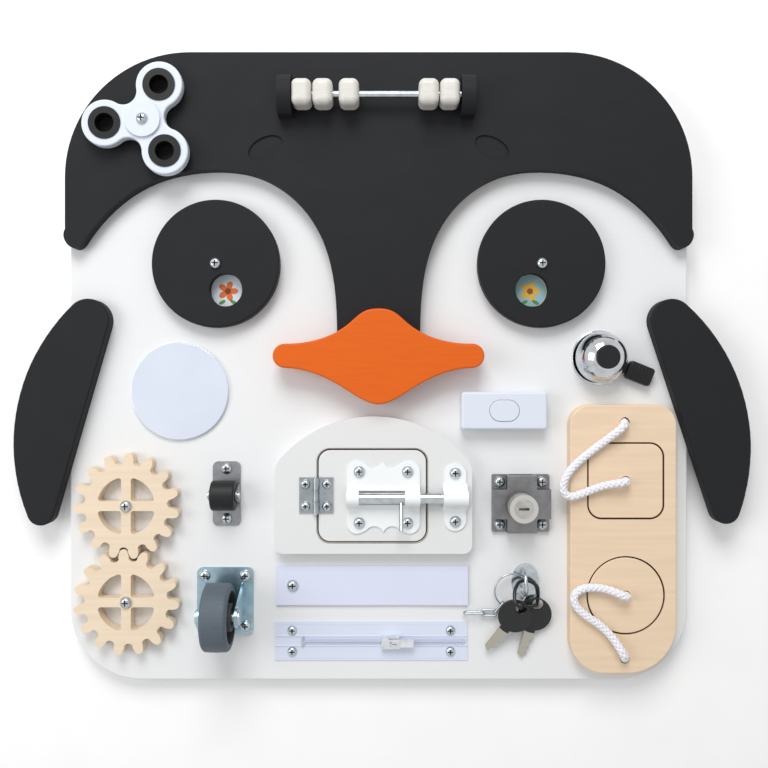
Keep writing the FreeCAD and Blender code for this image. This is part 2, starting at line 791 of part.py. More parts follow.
def flipper_shape():
    """The right flipper: an outer arc, two round ends inside it and the line that touches both."""
    middle = Vector(number("flipper_arc_x"), number("flipper_arc_y"), 0)
    wide = number("flipper_arc_radius")
    ends = []
    for radius, angle in (("flipper_top_radius", "flipper_top_angle"),
                          ("flipper_tip_radius", "flipper_tip_angle")):
        turn = math.radians(180 - number(angle))
        away = Vector(math.cos(turn), math.sin(turn), 0)
        ends.append((middle + away * (wide - number(radius)), number(radius), away))
    (top, top_radius, top_away), (tip, tip_radius, tip_away) = ends
    span = tip - top
    lean = math.asin((top_radius - tip_radius) / span.Length)
    inward = Rotation(Vector(0, 0, 1), -90 + math.degrees(lean)).multVec(span).normalize()
    edges = [
        Part.LineSegment(top + inward * top_radius, tip + inward * tip_radius).toShape(),
        Part.Arc(tip + inward * tip_radius, tip + (inward + tip_away * 0.2 + span.normalize()).normalize()
                 * tip_radius, tip + tip_away * tip_radius).toShape(),
        Part.Arc(tip + tip_away * tip_radius,
                 middle + (tip_away + top_away).normalize() * wide, top + top_away * top_radius).toShape(),
        Part.Arc(top + top_away * top_radius, top + (inward + top_away).normalize() * top_radius,
                 top + inward * top_radius).toShape(),
    ]
    solid = Part.Face(Part.Wire(edges)).extrude(Vector(0, 0, number("stock_thickness")))
    level = number("stock_thickness")
    edges = [edge for edge in solid.Edges if abs(edge.BoundBox.ZMin - level) < 1e-6]
    return solid.makeFillet(number("edge_round"), edges)


front_spots = []
back_spots = HOOD_SCREWS + BEAK_SCREWS + DOOR_PANEL_SCREWS + ROPE_PANEL_SCREWS + BELL_AND_SWITCH_SCREWS
back_spots += [(side * x, y) for side in (-1, 1) for x, y in FLIPPER_SCREWS]
back_spots += [("post_left_x", "rod_y"), ("post_right_x", "rod_y")]
for side in ("-", ""):
    front_spots.append((side + "eye_x", "eye_y"))
for drop in ("0", "gear_distance"):
    front_spots.append(("gear_x", "gear_top_y - " + drop))
for sign in ("-", "+"):
    front_spots.append(("roller_x", "roller_y %s roller_screw_offset" % sign))
    front_spots.append(("zip_screw_left", "zip_y %s zip_screw_y" % sign))
    front_spots.append(("zip_screw_right", "zip_y %s zip_screw_y" % sign))
    for other in ("-", "+"):
        front_spots.append(("caster_x %s caster_screw_x" % sign, "caster_y %s caster_screw_y" % other))
        front_spots.append(("lock_x %s lock_screw_offset" % sign, "lock_y %s lock_screw_offset" % other))
front_spots.append(("strap_screw_x", "strap_y"))
front_spots.append(("spinner_x", "spinner_y"))


def circles(spots, radius):
    def draw(sketch):
        for x, y in spots:
            circle(sketch, x, y, radius)
    return draw


PILOT = "screw_shank + screw_fit"
board = plate("base_board", board_outline, "board_thickness", round_over="edge_round", both_faces=True)
carve(board, circles(front_spots, PILOT), "board_thickness - 1", FACE)
bail_spots = [("bail_x", "eye_plate_y %s bail_half_span" % sign) for sign in ("-", "+")]
carve(board, circles(bail_spots, "bail_radius + screw_fit"), "board_thickness - 1", FACE)
countersunk(board, back_spots)

hood = plate("hood", hood_outline, "stock_thickness", z=FACE)
carve(hood, circles([("spinner_x", "spinner_y")] + BEAK_SCREWS + [("post_left_x", "rod_y"),
                                                                   ("post_right_x", "rod_y")], PILOT),
      "0", "stock_thickness", through=True)
for side in (-1, 1):
    carve(hood, brow_outline(side), "brow_depth", "stock_thickness")
hood_back = new_sketch(hood)
for spot in HOOD_SCREWS:
    circle(hood_back, spot[0], spot[1], PILOT)
hood_pilots = hood.newObject("PartDesign::Pocket", "hood_pilots")
hood_pilots.Profile = hood_back
hood_pilots.Reversed = True
bind(hood_pilots, Length="screw_grip")

beak = plate("beak", beak_outline, "stock_thickness", z=DECK, round_over="edge_round")
doc.recompute()
beak_back = new_sketch(beak)
for spot in BEAK_SCREWS:
    circle(beak_back, spot[0], spot[1], PILOT)
beak_pilots = beak.newObject("PartDesign::Pocket", "beak_pilots")
beak_pilots.Profile = beak_back
beak_pilots.Reversed = True
bind(beak_pilots, Length="screw_grip")

right_flipper = flipper_shape()
left_flipper = right_flipper.mirror(Vector(), Vector(1, 0, 0))
top_end = Vector(*FLIPPER_SCREWS[0], 0)
right_flipper.rotate(top_end, Vector(0, 0, 1), number("flipper_right_turn"))
right_flipper.translate(Vector(number("flipper_right_shift"), 0, 0))
for x, y in FLIPPER_SCREWS:
    pilot = Part.makeCylinder(number(PILOT), number("screw_grip"), Vector(x, y, 0))
    right_flipper = right_flipper.cut(pilot)
    left_flipper = left_flipper.cut(pilot.mirror(Vector(), Vector(1, 0, 0)))
flippers = formed("flippers", Part.makeCompound([left_flipper, right_flipper]))
flippers.Placement = Placement(Vector(0, 0, number(FACE)), Rotation())


# Eye discs, their prints and washers

def window_spot(angle):
    turn = math.radians(number(angle))
    return number("window_offset") * math.cos(turn), number("window_offset") * math.sin(turn)


def disc_outline(angle):
    def draw(sketch):
        circle(sketch, "0", "0", "eye_radius")
        circle(sketch, "0", "0", "screw_shank + pin_fit")
        hole_x, hole_y = window_spot(angle)
        circle(sketch, hole_x, hole_y, "window_radius")
    return draw


for label, side, angle in (("eye_disc_left", "-", "window_angle_left"),
                           ("eye_disc_right", "", "window_angle_right")):
    plate(label, disc_outline(angle), "disc_thickness", side + "eye_x", "eye_y", TURNING_BOTTOM,
          round_over="edge_round")

prints = []
for side in ("-", ""):
    paper = cylinder("print_radius", "print_thickness", side + "eye_x", "eye_y", FACE)
    hole = cylinder("washer_radius + running_gap", "print_thickness", side + "eye_x", "eye_y", FACE)
    prints.append(cut(paper, hole))
group("eye_prints", *prints)

turning_spots = [("-eye_x", "eye_y"), ("eye_x", "eye_y"), ("gear_x", "gear_top_y"),
                 ("gear_x", "gear_top_y - gear_distance")]
washers = []
for x, y in turning_spots:
    disc = cylinder("washer_radius", "washer_height", x, y, FACE)
    washers.append(cut(disc, cylinder(PILOT, "washer_height", x, y, FACE)))
group("pivot_washers", *washers)

plate("mirror", circles([("0", "0")], "mirror_radius"), "mirror_thickness", "mirror_x", "mirror_y", FACE,
      round_over="mirror_thickness / 5")


# Hand spinner: lobes round a centre, joined by hollow curves

def spinner_outline(sketch):
    lobe = number("spinner_lobe_radius")
    offset = number("spinner_lobe_offset")
    waist = number("spinner_waist")
    hollow = (lobe ** 2 + offset * waist - offset ** 2 - waist ** 2) / (2 * waist - offset - 2 * lobe)
    runs = []
    for index in range(3):
        turn = math.radians(number("spinner_angle") + 120 * index)
        lobe_middle = Vector(math.cos(turn), math.sin(turn), 0) * offset
        for sign in (-1, 1):
            aside = turn + sign * math.pi / 3
            hollow_middle = Vector(math.cos(aside), math.sin(aside), 0) * (waist + hollow)
            meet = lobe_middle + (hollow_middle - lobe_middle).normalize() * lobe
            valley = Vector(math.cos(aside), math.sin(aside), 0) * waist
            if sign < 0:
                runs.append((valley, meet))
            else:
                runs[-1] += (lobe_middle + Vector(math.cos(turn), math.sin(turn), 0) * lobe, meet,
                             hollow_middle)
    start = runs[-1][3]
    steps = []
    for valley, meet, crown, far, _ in runs:
        steps.append(("arc", (valley.x, valley.y), (meet.x, meet.y)))
        steps.append(("arc", (crown.x, crown.y), (far.x, far.y)))
    trace(sketch, (start.x, start.y), *steps)


def lobe_spots():
    spots = []
    for index in range(3):
        turn = math.radians(number("spinner_angle") + 120 * index)
        spots.append((number("spinner_lobe_offset") * math.cos(turn),
                      number("spinner_lobe_offset") * math.sin(turn)))
    return spots


SPINNER_BOTTOM = "(board_thickness + stock_thickness + spinner_lift)"
spinner = plate("spinner_body", spinner_outline, "spinner_thickness", "spinner_x", "spinner_y",
                SPINNER_BOTTOM, round_over="edge_round", both_faces=True)
carve(spinner, circles(lobe_spots(), "ring_outer"), "0", "spinner_thickness", through=True)
carve(spinner, circles([("0", "0")], "bearing_outer"), "0", "spinner_thickness", through=True)

rings = []
for x, y in lobe_spots():
    spot_x = "spinner_x + (%r)" % x
    spot_y = "spinner_y + (%r)" % y
    outer = cylinder("ring_outer", "spinner_thickness + 2 * ring_proud", spot_x, spot_y,
                     SPINNER_BOTTOM + " - ring_proud")
    rings.append(cut(outer, cylinder("ring_inner", "spinner_thickness + 2 * ring_proud", spot_x, spot_y,
                                     SPINNER_BOTTOM + " - ring_proud")))
race = cylinder("bearing_outer", "spinner_thickness", "spinner_x", "spinner_y", SPINNER_BOTTOM)
rings.append(cut(race, cylinder("bearing_outer - race_wall", "spinner_thickness", "spinner_x", "spinner_y",
                                SPINNER_BOTTOM)))
group("spinner_weights", *rings)

hub_parts = [
    cylinder("bearing_outer - race_wall - pin_fit", "spinner_thickness + 2 * running_gap", "spinner_x",
             "spinner_y", SPINNER_BOTTOM + " - running_gap"),
    cylinder("hub_cap_radius", "hub_cap_height", "spinner_x", "spinner_y",
             SPINNER_BOTTOM + " + spinner_thickness + running_gap"),
    cylinder("bearing_outer - race_wall", "spinner_lift - running_gap", "spinner_x", "spinner_y", DECK),
]
hub = cut(fuse(*hub_parts), cylinder(PILOT, "spinner_thickness + 20", "spinner_x", "spinner_y", DECK))
named(hub, "spinner_hub")

# Abacus

posts = []
for index, x in enumerate(("post_left_x", "post_right_x")):
    body = doc.addObject("PartDesign::Body", "post")
    sketch = new_sketch(body, "0", "YZ_Plane")
    half = number("post_length / 2")
    tall = number("post_height")
    shoulder = tall - half * 0.62
    trace(sketch, (-half, 0), ("line", (half, 0)), ("line", (half, shoulder)),
          ("arc", (0, tall), (-half, shoulder)), ("line", (-half, 0)))
    pad = body.newObject("PartDesign::Pad", "post_pad")
    pad.Profile = sketch
    bind(pad, Length="post_width")
    place(body, x + " - post_width / 2", "rod_y", DECK)
    inward = x + (" + post_width / 2 - post_socket" if index == 0 else " - post_width / 2")
    socket = cylinder("rod_radius + screw_fit", "post_socket", inward, "rod_y", DECK + " + rod_height", "x")
    pilot = cylinder(PILOT, "screw_grip", x, "rod_y", DECK)
    posts.append(cut(body, socket, pilot))
group("abacus_posts", *posts)
SPAN = "post_right_x - post_left_x - post_width + 2 * post_socket - 0.4"
named(cylinder("rod_radius", SPAN, "post_left_x + post_width / 2 - post_socket + 0.2", "rod_y",
               DECK + " + rod_height", "x"), "abacus_rod")

for index in range(1, 6):
    body = doc.addObject("PartDesign::Body", "bead_%d" % index)
    body.Label = "bead_%d" % index
    cube = body.newObject("PartDesign::AdditiveBox", "cube")
    bind(cube, Length="bead_length", Width="bead_side", Height="bead_side")
    cube.AttachmentOffset = Placement()
    doc.recompute()
    rounding = body.newObject("PartDesign::Fillet", "cube_round")
    rounding.Base = (cube, ["Edge%d" % edge for edge in range(1, 13)])
    bind(rounding, Radius="bead_round")
    sketch = new_sketch(body, "0", "YZ_Plane")
    circle(sketch, "bead_side / 2", "bead_side / 2", "bead_bore")
    bore = body.newObject("PartDesign::Pocket", "bore")
    bore.Profile = sketch
    bore.Type = "ThroughAll"
    bore.Reversed = True
    place(body, "bead_%d_x - bead_length / 2" % index, "rod_y - bead_side / 2",
          DECK + " + rod_height - bead_side / 2")


# Gears

def gear_outline(phase):
    """Involute flanks with rounded tips and roots; one tooth points along the phase angle."""
    teeth = int(number("gear_teeth"))
    pitch = number("gear_distance") / 2
    outer = number("gear_outer")
    root = number("gear_root")
    pressure = math.radians(20)
    base = pitch * math.cos(pressure)
    half_tooth = (math.pi / 2 - number("gear_backlash") / (2 * pitch) * teeth / 2) / teeth
    involute = math.tan(pressure) - pressure

    def half_angle(radius):
        lean = math.acos(min(1.0, base / max(radius, base)))
        return half_tooth + involute - (math.tan(lean) - lean)

    def spot(radius, angle):
        return (radius * math.cos(angle), radius * math.sin(angle))

    foot = root + 1.6
    crest = outer - 1.3
    levels = [foot, (foot + pitch) / 2 + 0.6, pitch + 0.6, crest]
    first = math.radians(phase)
    start = spot(foot, first - half_angle(foot))
    steps = []
    for tooth in range(teeth):
        middle = first + tooth * 2 * math.pi / teeth
        after = middle + math.pi / teeth
        steps.append(("curve", *[spot(level, middle - half_angle(level)) for level in levels[1:]]))
        steps.append(("arc", spot(outer, middle), spot(crest, middle + half_angle(crest))))
        steps.append(("curve", *[spot(level, middle + half_angle(level)) for level in levels[-2::-1]]))
        following = middle + 2 * math.pi / teeth
        steps.append(("arc", spot(root, after), spot(foot, following - half_angle(foot))))

    def draw(sketch):
        trace(sketch, start, *steps)
        circle(sketch, "0", "0", "screw_shank + pin_fit")
    return draw


def gear_window(quarter):
    """One of the four windows between the spokes."""
    outer = number("gear_window_radius")
    edge = number("gear_spoke / 2")
    corner = number("gear_window_corner")
    reach = math.sqrt((outer - corner) ** 2 - (edge + corner) ** 2)
    lean = math.atan2(edge + corner, reach)
    turn = math.radians(90 * quarter)

    def turned(x, y):
        return (x * math.cos(turn) - y * math.sin(turn), x * math.sin(turn) + y * math.cos(turn))

    slant = corner * (1 - math.sqrt(0.5))
    near = (reach + outer * math.cos(lean) / outer * corner, edge + corner + corner * math.sin(lean))
    middle = math.radians(45)
    tip = math.radians(-90) / 2 + lean / 2

    def draw(sketch):
        trace(sketch, turned(edge + corner, edge),
              ("line", turned(reach, edge)),
              ("arc", turned(reach + corner * math.cos(tip), edge + corner + corner * math.sin(tip)),
               turned(*near)),
              ("arc", turned(outer * math.cos(middle), outer * math.sin(middle)), turned(near[1], near[0])),
              ("arc", turned(edge + corner + corner * math.sin(tip), reach + corner * math.cos(tip)),
               turned(edge, reach)),
              ("line", turned(edge, edge + corner)),
              ("arc", turned(edge + slant, edge + slant), turned(edge + corner, edge)))
    return draw


PITCH_ANGLE = 360 / number("gear_teeth")
for label, y, phase in (
        ("gear_top", "gear_top_y", -90 - number("gear_phase") + PITCH_ANGLE / 2),
        ("gear_bottom", "gear_top_y - gear_distance", 90 + number("gear_phase"))):
    gear = plate(label, gear_outline(phase), "disc_thickness", "gear_x", y, TURNING_BOTTOM)
    for quarter in range(4):
        carve(gear, gear_window(quarter), "0", "disc_thickness", through=True)

# Small roller and its bracket

EAR_GAP = "(roller_width / 2 + running_gap)"


def roller_plate(sketch):
    rounded_box(sketch, "-roller_plate_width / 2", "roller_plate_width / 2", "-roller_plate_length / 2",
                "roller_plate_length / 2", ["roller_plate_corner"] * 4)
    for sign in ("-", ""):
        circle(sketch, "0", sign + "roller_screw_offset", PILOT)


def ear(x, length, top, end_radius, sheet_size, axle_radius, middle_y, axle_y, axle_z):
    """An upright cheek: a foot on the plate, a round end about the axle, a hole for it."""
    body = doc.addObject("PartDesign::Body", "ear")
    sketch = new_sketch(body, "0", "YZ_Plane")
    foot = number(length) / 2
    shift = number(middle_y)
    y = number(axle_y)
    z = number(axle_z)
    radius = number(end_radius)
    trace(sketch, (shift - foot, 0), ("line", (shift + foot, 0)),
          ("line", (y + radius, z)), ("arc", (y, z + radius), (y - radius, z)),
          ("line", (shift - foot, 0)))
    circle(sketch, axle_y, axle_z, axle_radius)
    pad = body.newObject("PartDesign::Pad", "ear_pad")
    pad.Profile = sketch
    bind(pad, Length=sheet_size)
    return place(body, x, top[0], top[1])


roller_parts = [plate("roller_plate", roller_plate, "bracket_sheet", "roller_x", "roller_y", FACE)]
for x in ("roller_x - %s - bracket_sheet" % EAR_GAP, "roller_x + " + EAR_GAP):
    roller_parts.append(ear("(%s)" % x, "roller_ear_length", ("roller_y", FACE + " + bracket_sheet / 2"),
                            "roller_axle_radius + 2.6", "bracket_sheet", "roller_axle_radius + screw_fit",
                            "0", "0", "roller_axle_height - bracket_sheet / 2"))
named(fuse(*roller_parts), "roller_bracket")

roller = cylinder("roller_radius", "roller_width", "roller_x - roller_width / 2", "roller_y",
                  FACE + " + roller_axle_height", "x")
roller_bore = cylinder("roller_axle_radius + pin_fit", "roller_width", "roller_x - roller_width / 2",
                       "roller_y", FACE + " + roller_axle_height", "x")
crown = doc.addObject("Part::Fillet", "crown")
crown.Base = cut(roller, roller_bore)
doc.recompute()
crown.Edges = [(index, 1.4, 1.4) for index, edge in enumerate(crown.Base.Shape.Edges, 1)
               if edge.BoundBox.YLength > number("roller_radius * 2 - 0.1")
               and edge.BoundBox.XLength < 0.1]
named(crown, "roller")

# Caster

CASTER_AXLE_Z = "(board_thickness + caster_axle_height)"
CASTER_AXLE_Y = "(caster_y + caster_axle_offset)"
LEG_GAP = "(caster_wheel_width / 2 + caster_leg_gap)"


def caster_plate(sketch):
    rounded_box(sketch, "-caster_plate_width / 2", "caster_plate_width / 2", "-caster_plate_length / 2",
                "caster_plate_length / 2", ["caster_plate_corner"] * 4)
    for sign in ("-", ""):
        for other in ("-", ""):
            circle(sketch, sign + "caster_screw_x", other + "caster_screw_y", PILOT)


caster_parts = [plate("caster_plate", caster_plate, "caster_sheet", "caster_x", "caster_y", FACE)]
for x in ("caster_x - %s - caster_sheet" % LEG_GAP, "caster_x + " + LEG_GAP):
    caster_parts.append(ear("(%s)" % x, "caster_leg_foot - 6", ("caster_y", FACE + " + caster_sheet / 2"),
                            "caster_leg_end", "caster_sheet", "caster_axle_radius + screw_fit",
                            "0", "caster_axle_offset", "caster_axle_height - caster_sheet / 2"))
named(fuse(*caster_parts), "caster_bracket")

wheel_profile = doc.addObject("PartDesign::Body", "caster_wheel")
wheel_profile.Label = "caster_wheel"
wheel_sketch = new_sketch(wheel_profile, "0", "XZ_Plane")
wheel_half = number("caster_wheel_width / 2")
wheel_rim = number("caster_wheel_radius")
wheel_bore = number("caster_axle_radius + pin_fit")
wheel_inner = number("caster_wheel_radius - caster_tread")
wheel_hub = number("caster_hub_radius")
wheel_web = wheel_half * 0.45
trace(wheel_sketch, (-wheel_half, wheel_bore), ("line", (wheel_half, wheel_bore)),
      ("line", (wheel_half, wheel_hub)), ("line", (wheel_web, wheel_hub + 1)),
      ("line", (wheel_web, wheel_inner - 1)), ("line", (wheel_half - 0.6, wheel_inner)),
      ("line", (wheel_half - 0.6, wheel_rim - 3)), ("arc", (wheel_half - 1.5, wheel_rim - 0.9),
                                                    (wheel_half - 3.6, wheel_rim - 0.2)),
      ("arc", (0, wheel_rim), (3.6 - wheel_half, wheel_rim - 0.2)),
      ("arc", (1.5 - wheel_half, wheel_rim - 0.9), (0.6 - wheel_half, wheel_rim - 3)),
      ("line", (0.6 - wheel_half, wheel_inner)), ("line", (-wheel_web, wheel_inner - 1)),
      ("line", (-wheel_web, wheel_hub + 1)), ("line", (-wheel_half, wheel_hub)),
      ("line", (-wheel_half, wheel_bore)))
wheel_turn = wheel_profile.newObject("PartDesign::Revolution", "wheel_turn")
wheel_turn.Profile = wheel_sketch
wheel_turn.ReferenceAxis = (wheel_sketch, ["H_Axis"])
wheel_turn.Angle = 360
place(wheel_profile, "caster_x", CASTER_AXLE_Y, CASTER_AXLE_Z)


def axle(radius, inner_half, sheet_size, x, y, z):
    """A plain axle with a riveted head outside each cheek."""
    reach = "(%s + %s)" % (inner_half, sheet_size)
    shaft = cylinder(radius, "2 * %s" % reach, "%s - %s" % (x, reach), y, z, "x")
    head = "(%s) * 1.6" % radius
    left = cylinder(head, "1.2", "%s - %s - 1.2" % (x, reach), y, z, "x")
    right = cylinder(head, "1.2", "%s + %s" % (x, reach), y, z, "x")
    return fuse(shaft, left, right)


# Door panel, door, hinge

DOOR_AXIS_X = "(door_left - door_groove)"


def door_frame_outline(sketch):
    left = number("door_panel_left")
    right = number("door_panel_right")
    bottom = number("door_panel_bottom")
    shoulder = number("door_panel_shoulder")
    top = number("door_panel_top")
    corner = number("door_panel_corner")
    slant = corner * (1 - math.sqrt(0.5))
    half = (right - left) / 2
    middle = (right + left) / 2
    rise = top - shoulder
    sweep = (half ** 2 + rise ** 2) / (2 * rise)
    quarter = half / 2
    drop = sweep - math.sqrt(sweep ** 2 - quarter ** 2)
    cut_in = 4.0
    inset = math.sqrt(sweep ** 2 - (half - cut_in) ** 2) - (sweep - rise) + shoulder
    trace(sketch, (left + corner, bottom), ("line", (right - corner, bottom)),
          ("arc", (right - slant, bottom + slant), (right, bottom + corner)),
          ("line", (right, shoulder - cut_in)),
          ("arc", (right - 0.9, shoulder - 0.2), (right - cut_in, inset)),
          ("arc", (middle + quarter / 4, top - drop / 16), (left + cut_in, inset)),
          ("arc", (left + 0.9, shoulder - 0.2), (left, shoulder - cut_in)),
          ("line", (left, bottom + corner)),
          ("arc", (left + slant, bottom + slant), (left + corner, bottom)))
    rounded_box(sketch, "door_left - door_groove", "door_right + door_groove", "door_bottom - door_groove",
                "door_top + door_groove", ["door_corner + door_groove"] * 4)


def leaf_spots(sign):
    x = "door_left - door_groove %s hinge_screw_x" % sign
    return [(x, "hinge_y - hinge_screw_y"), (x, "hinge_y + hinge_screw_y")]


BOLT_MIDDLE = "(bolt_plate_left + bolt_plate_right) / 2"
bolt_spots = [("%s %s bolt_screw_x" % (BOLT_MIDDLE, sign), "bolt_y %s bolt_screw_y" % other)
              for sign in ("-", "+") for other in ("-", "+")]
keeper_spots = [("keeper_x", "bolt_y - keeper_screw_y"), ("keeper_x", "bolt_y + keeper_screw_y")]
SHALLOW = "stock_thickness - 1"
frame = plate("door_frame", door_frame_outline, "stock_thickness", z=FACE)
carve(frame, circles(leaf_spots("-") + keeper_spots, PILOT), SHALLOW, "stock_thickness")
doc.recompute()
frame_back = new_sketch(frame)
for spot in DOOR_PANEL_SCREWS:
    circle(frame_back, spot[0], spot[1], PILOT)
frame_pilots = frame.newObject("PartDesign::Pocket", "frame_pilots")
frame_pilots.Profile = frame_back
frame_pilots.Reversed = True
bind(frame_pilots, Length="screw_grip")


def door_outline(sketch):
    rounded_box(sketch, "door_left", "door_right", "door_bottom", "door_top", ["door_corner"] * 4)


door = plate("door_leaf", door_outline, "stock_thickness - running_gap", z=FACE + " + running_gap",
             round_over="edge_round / 2")
carve(door, circles(leaf_spots("+") + bolt_spots, PILOT), "screw_grip - 0.4",
      "stock_thickness - running_gap")

KNUCKLE = "(hinge_leaf_length / 3)"


def hinge_leaf(label, sign, knuckles):
    """One leaf with its share of the three knuckles, bored for the pin."""
    low = "hinge_y - hinge_leaf_length / 2"
    side = "%s %s hinge_knuckle / 2" % (DOOR_AXIS_X, sign)
    width = "hinge_leaf_width - hinge_knuckle"
    middle = "%s %s (hinge_knuckle + (%s) / 2 + 0.2)" % (DOOR_AXIS_X, sign, width)
    parts = [block(width, "hinge_leaf_length", "hinge_sheet", middle, "hinge_y", DECK)]
    bores = [cylinder("hinge_pin + pin_fit", "hinge_leaf_length + 2", DOOR_AXIS_X, low + " - 1",
                      DECK + " + hinge_knuckle", "y")]
    for index in knuckles:
        start = "%s + %d * %s + running_gap / 2" % (low, index, KNUCKLE)
        long = KNUCKLE + " - running_gap"
        parts.append(cylinder("hinge_knuckle", long, DOOR_AXIS_X, start, DECK + " + hinge_knuckle", "y"))
        parts.append(block("hinge_knuckle + 0.4", long, "hinge_sheet",
                           "%s %s (hinge_knuckle + 0.4) / 2" % (DOOR_AXIS_X, sign),
                           "%s + (%s) / 2" % (start, long), DECK))
    for spot_x, spot_y in leaf_spots(sign):
        bores.append(cylinder(PILOT, "hinge_sheet", spot_x, spot_y, DECK))
    return named(cut(fuse(*parts), *bores), label)


hinge_leaf("hinge_leaf_fixed", "-", (0, 2))
hinge_leaf("hinge_leaf_moving", "+", (1,))
axles = [
    axle("roller_axle_radius", EAR_GAP, "bracket_sheet", "roller_x", "roller_y",
         FACE + " + roller_axle_height"),
    axle("caster_axle_radius", LEG_GAP, "caster_sheet", "caster_x", CASTER_AXLE_Y, CASTER_AXLE_Z),
    cylinder("hinge_pin", "hinge_leaf_length + 1.2", DOOR_AXIS_X,
             "hinge_y - hinge_leaf_length / 2 - 0.6", DECK + " + hinge_knuckle", "y"),
]
group("axles", *axles)

# Barrel bolt: a pressed plate with a raised housing, open at a slot, and its keeper


def housing_profile(wall):
    """Half-round crown over the rod with flared sides down to the plate, cut at a wall's depth."""
    crown = number("bolt_rod_radius + bolt_rod_play") + wall
    flare = number("bolt_flare") - number("bolt_sheet") + wall
    level = number("bolt_rod_height")
    span = math.hypot(flare, level)
    lean = math.atan2(level, flare) + math.asin(crown / span) - math.pi / 2
    touch = (crown * math.cos(lean), level + crown * math.sin(lean))
    return [(-flare, 0), (-touch[0], touch[1]), (0, level + crown), touch, (flare, 0)]


def housing(left, right):
    shells = []
    for wall in (number("bolt_sheet"), 0.0):
        body = doc.addObject("PartDesign::Body", "housing")
        sketch = new_sketch(body, "0", "YZ_Plane")
        points = housing_profile(wall)
        trace(sketch, points[0], ("line", points[1]), ("arc", points[2], points[3]), ("line", points[4]),
              ("line", points[0]))
        pad = body.newObject("PartDesign::Pad", "housing_pad")
        pad.Profile = sketch
        bind(pad, Length="(%s) - (%s)" % (right, left))
        place(body, left, "bolt_y", DECK)
        shells.append(body)
    return shells


def bolt_plate_outline(sketch):
    """Straight sides and scalloped long edges with a point in the middle."""
    half = number("(bolt_plate_right - bolt_plate_left) / 2")
    deep = number("bolt_plate_half")
    ear_end = half * 0.42
    upper = [
        ("line", (half, deep - 7)),
        ("arc", (half - 2.1, deep - 2.1), (half - 7, deep)),
        ("arc", (ear_end + 4.2, deep - 0.9), (ear_end, deep - 3.6)),
        ("arc", (ear_end * 0.45, deep - 5), (0, deep - 0.8)),
        ("arc", (-ear_end * 0.45, deep - 5), (-ear_end, deep - 3.6)),
        ("arc", (-ear_end - 4.2, deep - 0.9), (7 - half, deep)),
        ("arc", (2.1 - half, deep - 2.1), (-half, deep - 7)),
    ]
    lower = [(kind, *[(-x, -y) for x, y in points]) for kind, *points in upper]
    trace(sketch, (half, 7 - deep), *upper, *lower)


bolt_flat = plate("bolt_flat", bolt_plate_outline, "bolt_sheet", BOLT_MIDDLE, "bolt_y", DECK)
outer, inner = housing("bolt_plate_left", "bolt_plate_right")
slot = block("bolt_slot_right - bolt_slot_left", "bolt_flare + bolt_rod_radius", "20",
             "(bolt_slot_left + bolt_slot_right) / 2",
             "bolt_y + (bolt_rod_radius + 0.8 - 7.2) / 2", DECK + " + 3.6")
bolt_holes = [cylinder(PILOT, "bolt_sheet", x, y, DECK) for x, y in bolt_spots]
named(cut(fuse(bolt_flat, outer), inner, slot, *bolt_holes), "bolt_plate")

ROD_Z = "(board_thickness + stock_thickness + bolt_rod_height)"
rod = cylinder("bolt_rod_radius", "bolt_rod_right - bolt_rod_left", "bolt_rod_left", "bolt_y", ROD_Z, "x")
doc.recompute()
rod_end = doc.addObject("Part::Chamfer", "rod_end")
rod_end.Base = rod
rod_end.Edges = [(index, 0.8, 0.8) for index, edge in enumerate(rod.Shape.Edges, 1)
                 if edge.BoundBox.XLength < 1e-6]
handle = doc.addObject("Part::Cylinder", "handle")
bind(handle, Radius="bolt_handle_radius", Height="bolt_handle_length")
handle.Placement = Placement(Vector(), Rotation(Vector(1, 0, 0), 90 - number("bolt_handle_rise")))
place(handle, "bolt_handle_x", "bolt_y", ROD_Z)
named(fuse(rod_end, handle), "bolt_rod")


def keeper_outline(sketch):
    rounded_box(sketch, "-keeper_width / 2 + 1", "keeper_width / 2 - 1", "-keeper_length / 2",
                "keeper_length / 2", ["keeper_width / 2 - 1.2"] * 4)


keeper_flat = plate("keeper_flat", keeper_outline, "bolt_sheet", "keeper_x", "bolt_y", DECK)
outer, inner = housing("(keeper_x - keeper_width / 2)", "(keeper_x + keeper_width / 2)")
keeper_holes = [cylinder(PILOT, "bolt_sheet", x, y, DECK) for x, y in keeper_spots]
named(cut(fuse(keeper_flat, outer), inner, *keeper_holes), "bolt_keeper")

# Push switch


def switch_outline(sketch):
    rounded_box(sketch, "-switch_length / 2", "switch_length / 2", "-switch_width / 2", "switch_width / 2",
                ["switch_round"] * 4)


def stadium(length, width):
    def draw(sketch):
        half = number(width) / 2
        reach = number(length) / 2 - half
        trace(sketch, (-reach, -half), ("line", (reach, -half)), ("arc", (reach + half, 0), (reach, half)),
              ("line", (-reach, half)), ("arc", (-reach - half, 0), (-reach, -half)))
    return draw


housing_body = plate("switch_housing", switch_outline, "switch_height", "switch_x", "switch_y", FACE,
                     round_over="switch_round * 0.8")
carve(housing_body, stadium("button_length + 2 * running_gap", "button_width + 2 * running_gap"), "0",
      "switch_height", through=True)
carve(housing_body, circles([(sign + "switch_screw_offset", "0") for sign in ("-", "")], PILOT),
      "screw_grip", "screw_grip")
carve(housing_body, stadium("button_length + 2 * (button_flange + running_gap)",
                            "button_width + 2 * (button_flange + running_gap)"),
      "switch_height - switch_wall", "switch_height - switch_wall")
BUTTON_TOP = "(board_thickness + switch_height + button_proud)"
cap = plate("button_cap", stadium("button_length", "button_width"),
            "switch_wall + button_proud + running_gap + 1", "switch_x", "switch_y",
            BUTTON_TOP + " - (switch_wall + button_proud + running_gap + 1)", round_over="0.5")
flange = plate("button_flange_ring", stadium("button_length + 2 * button_flange",
                                             "button_width + 2 * button_flange"), "1.5", "switch_x",
               "switch_y", BUTTON_TOP + " - button_proud - switch_wall - running_gap - 1.5")
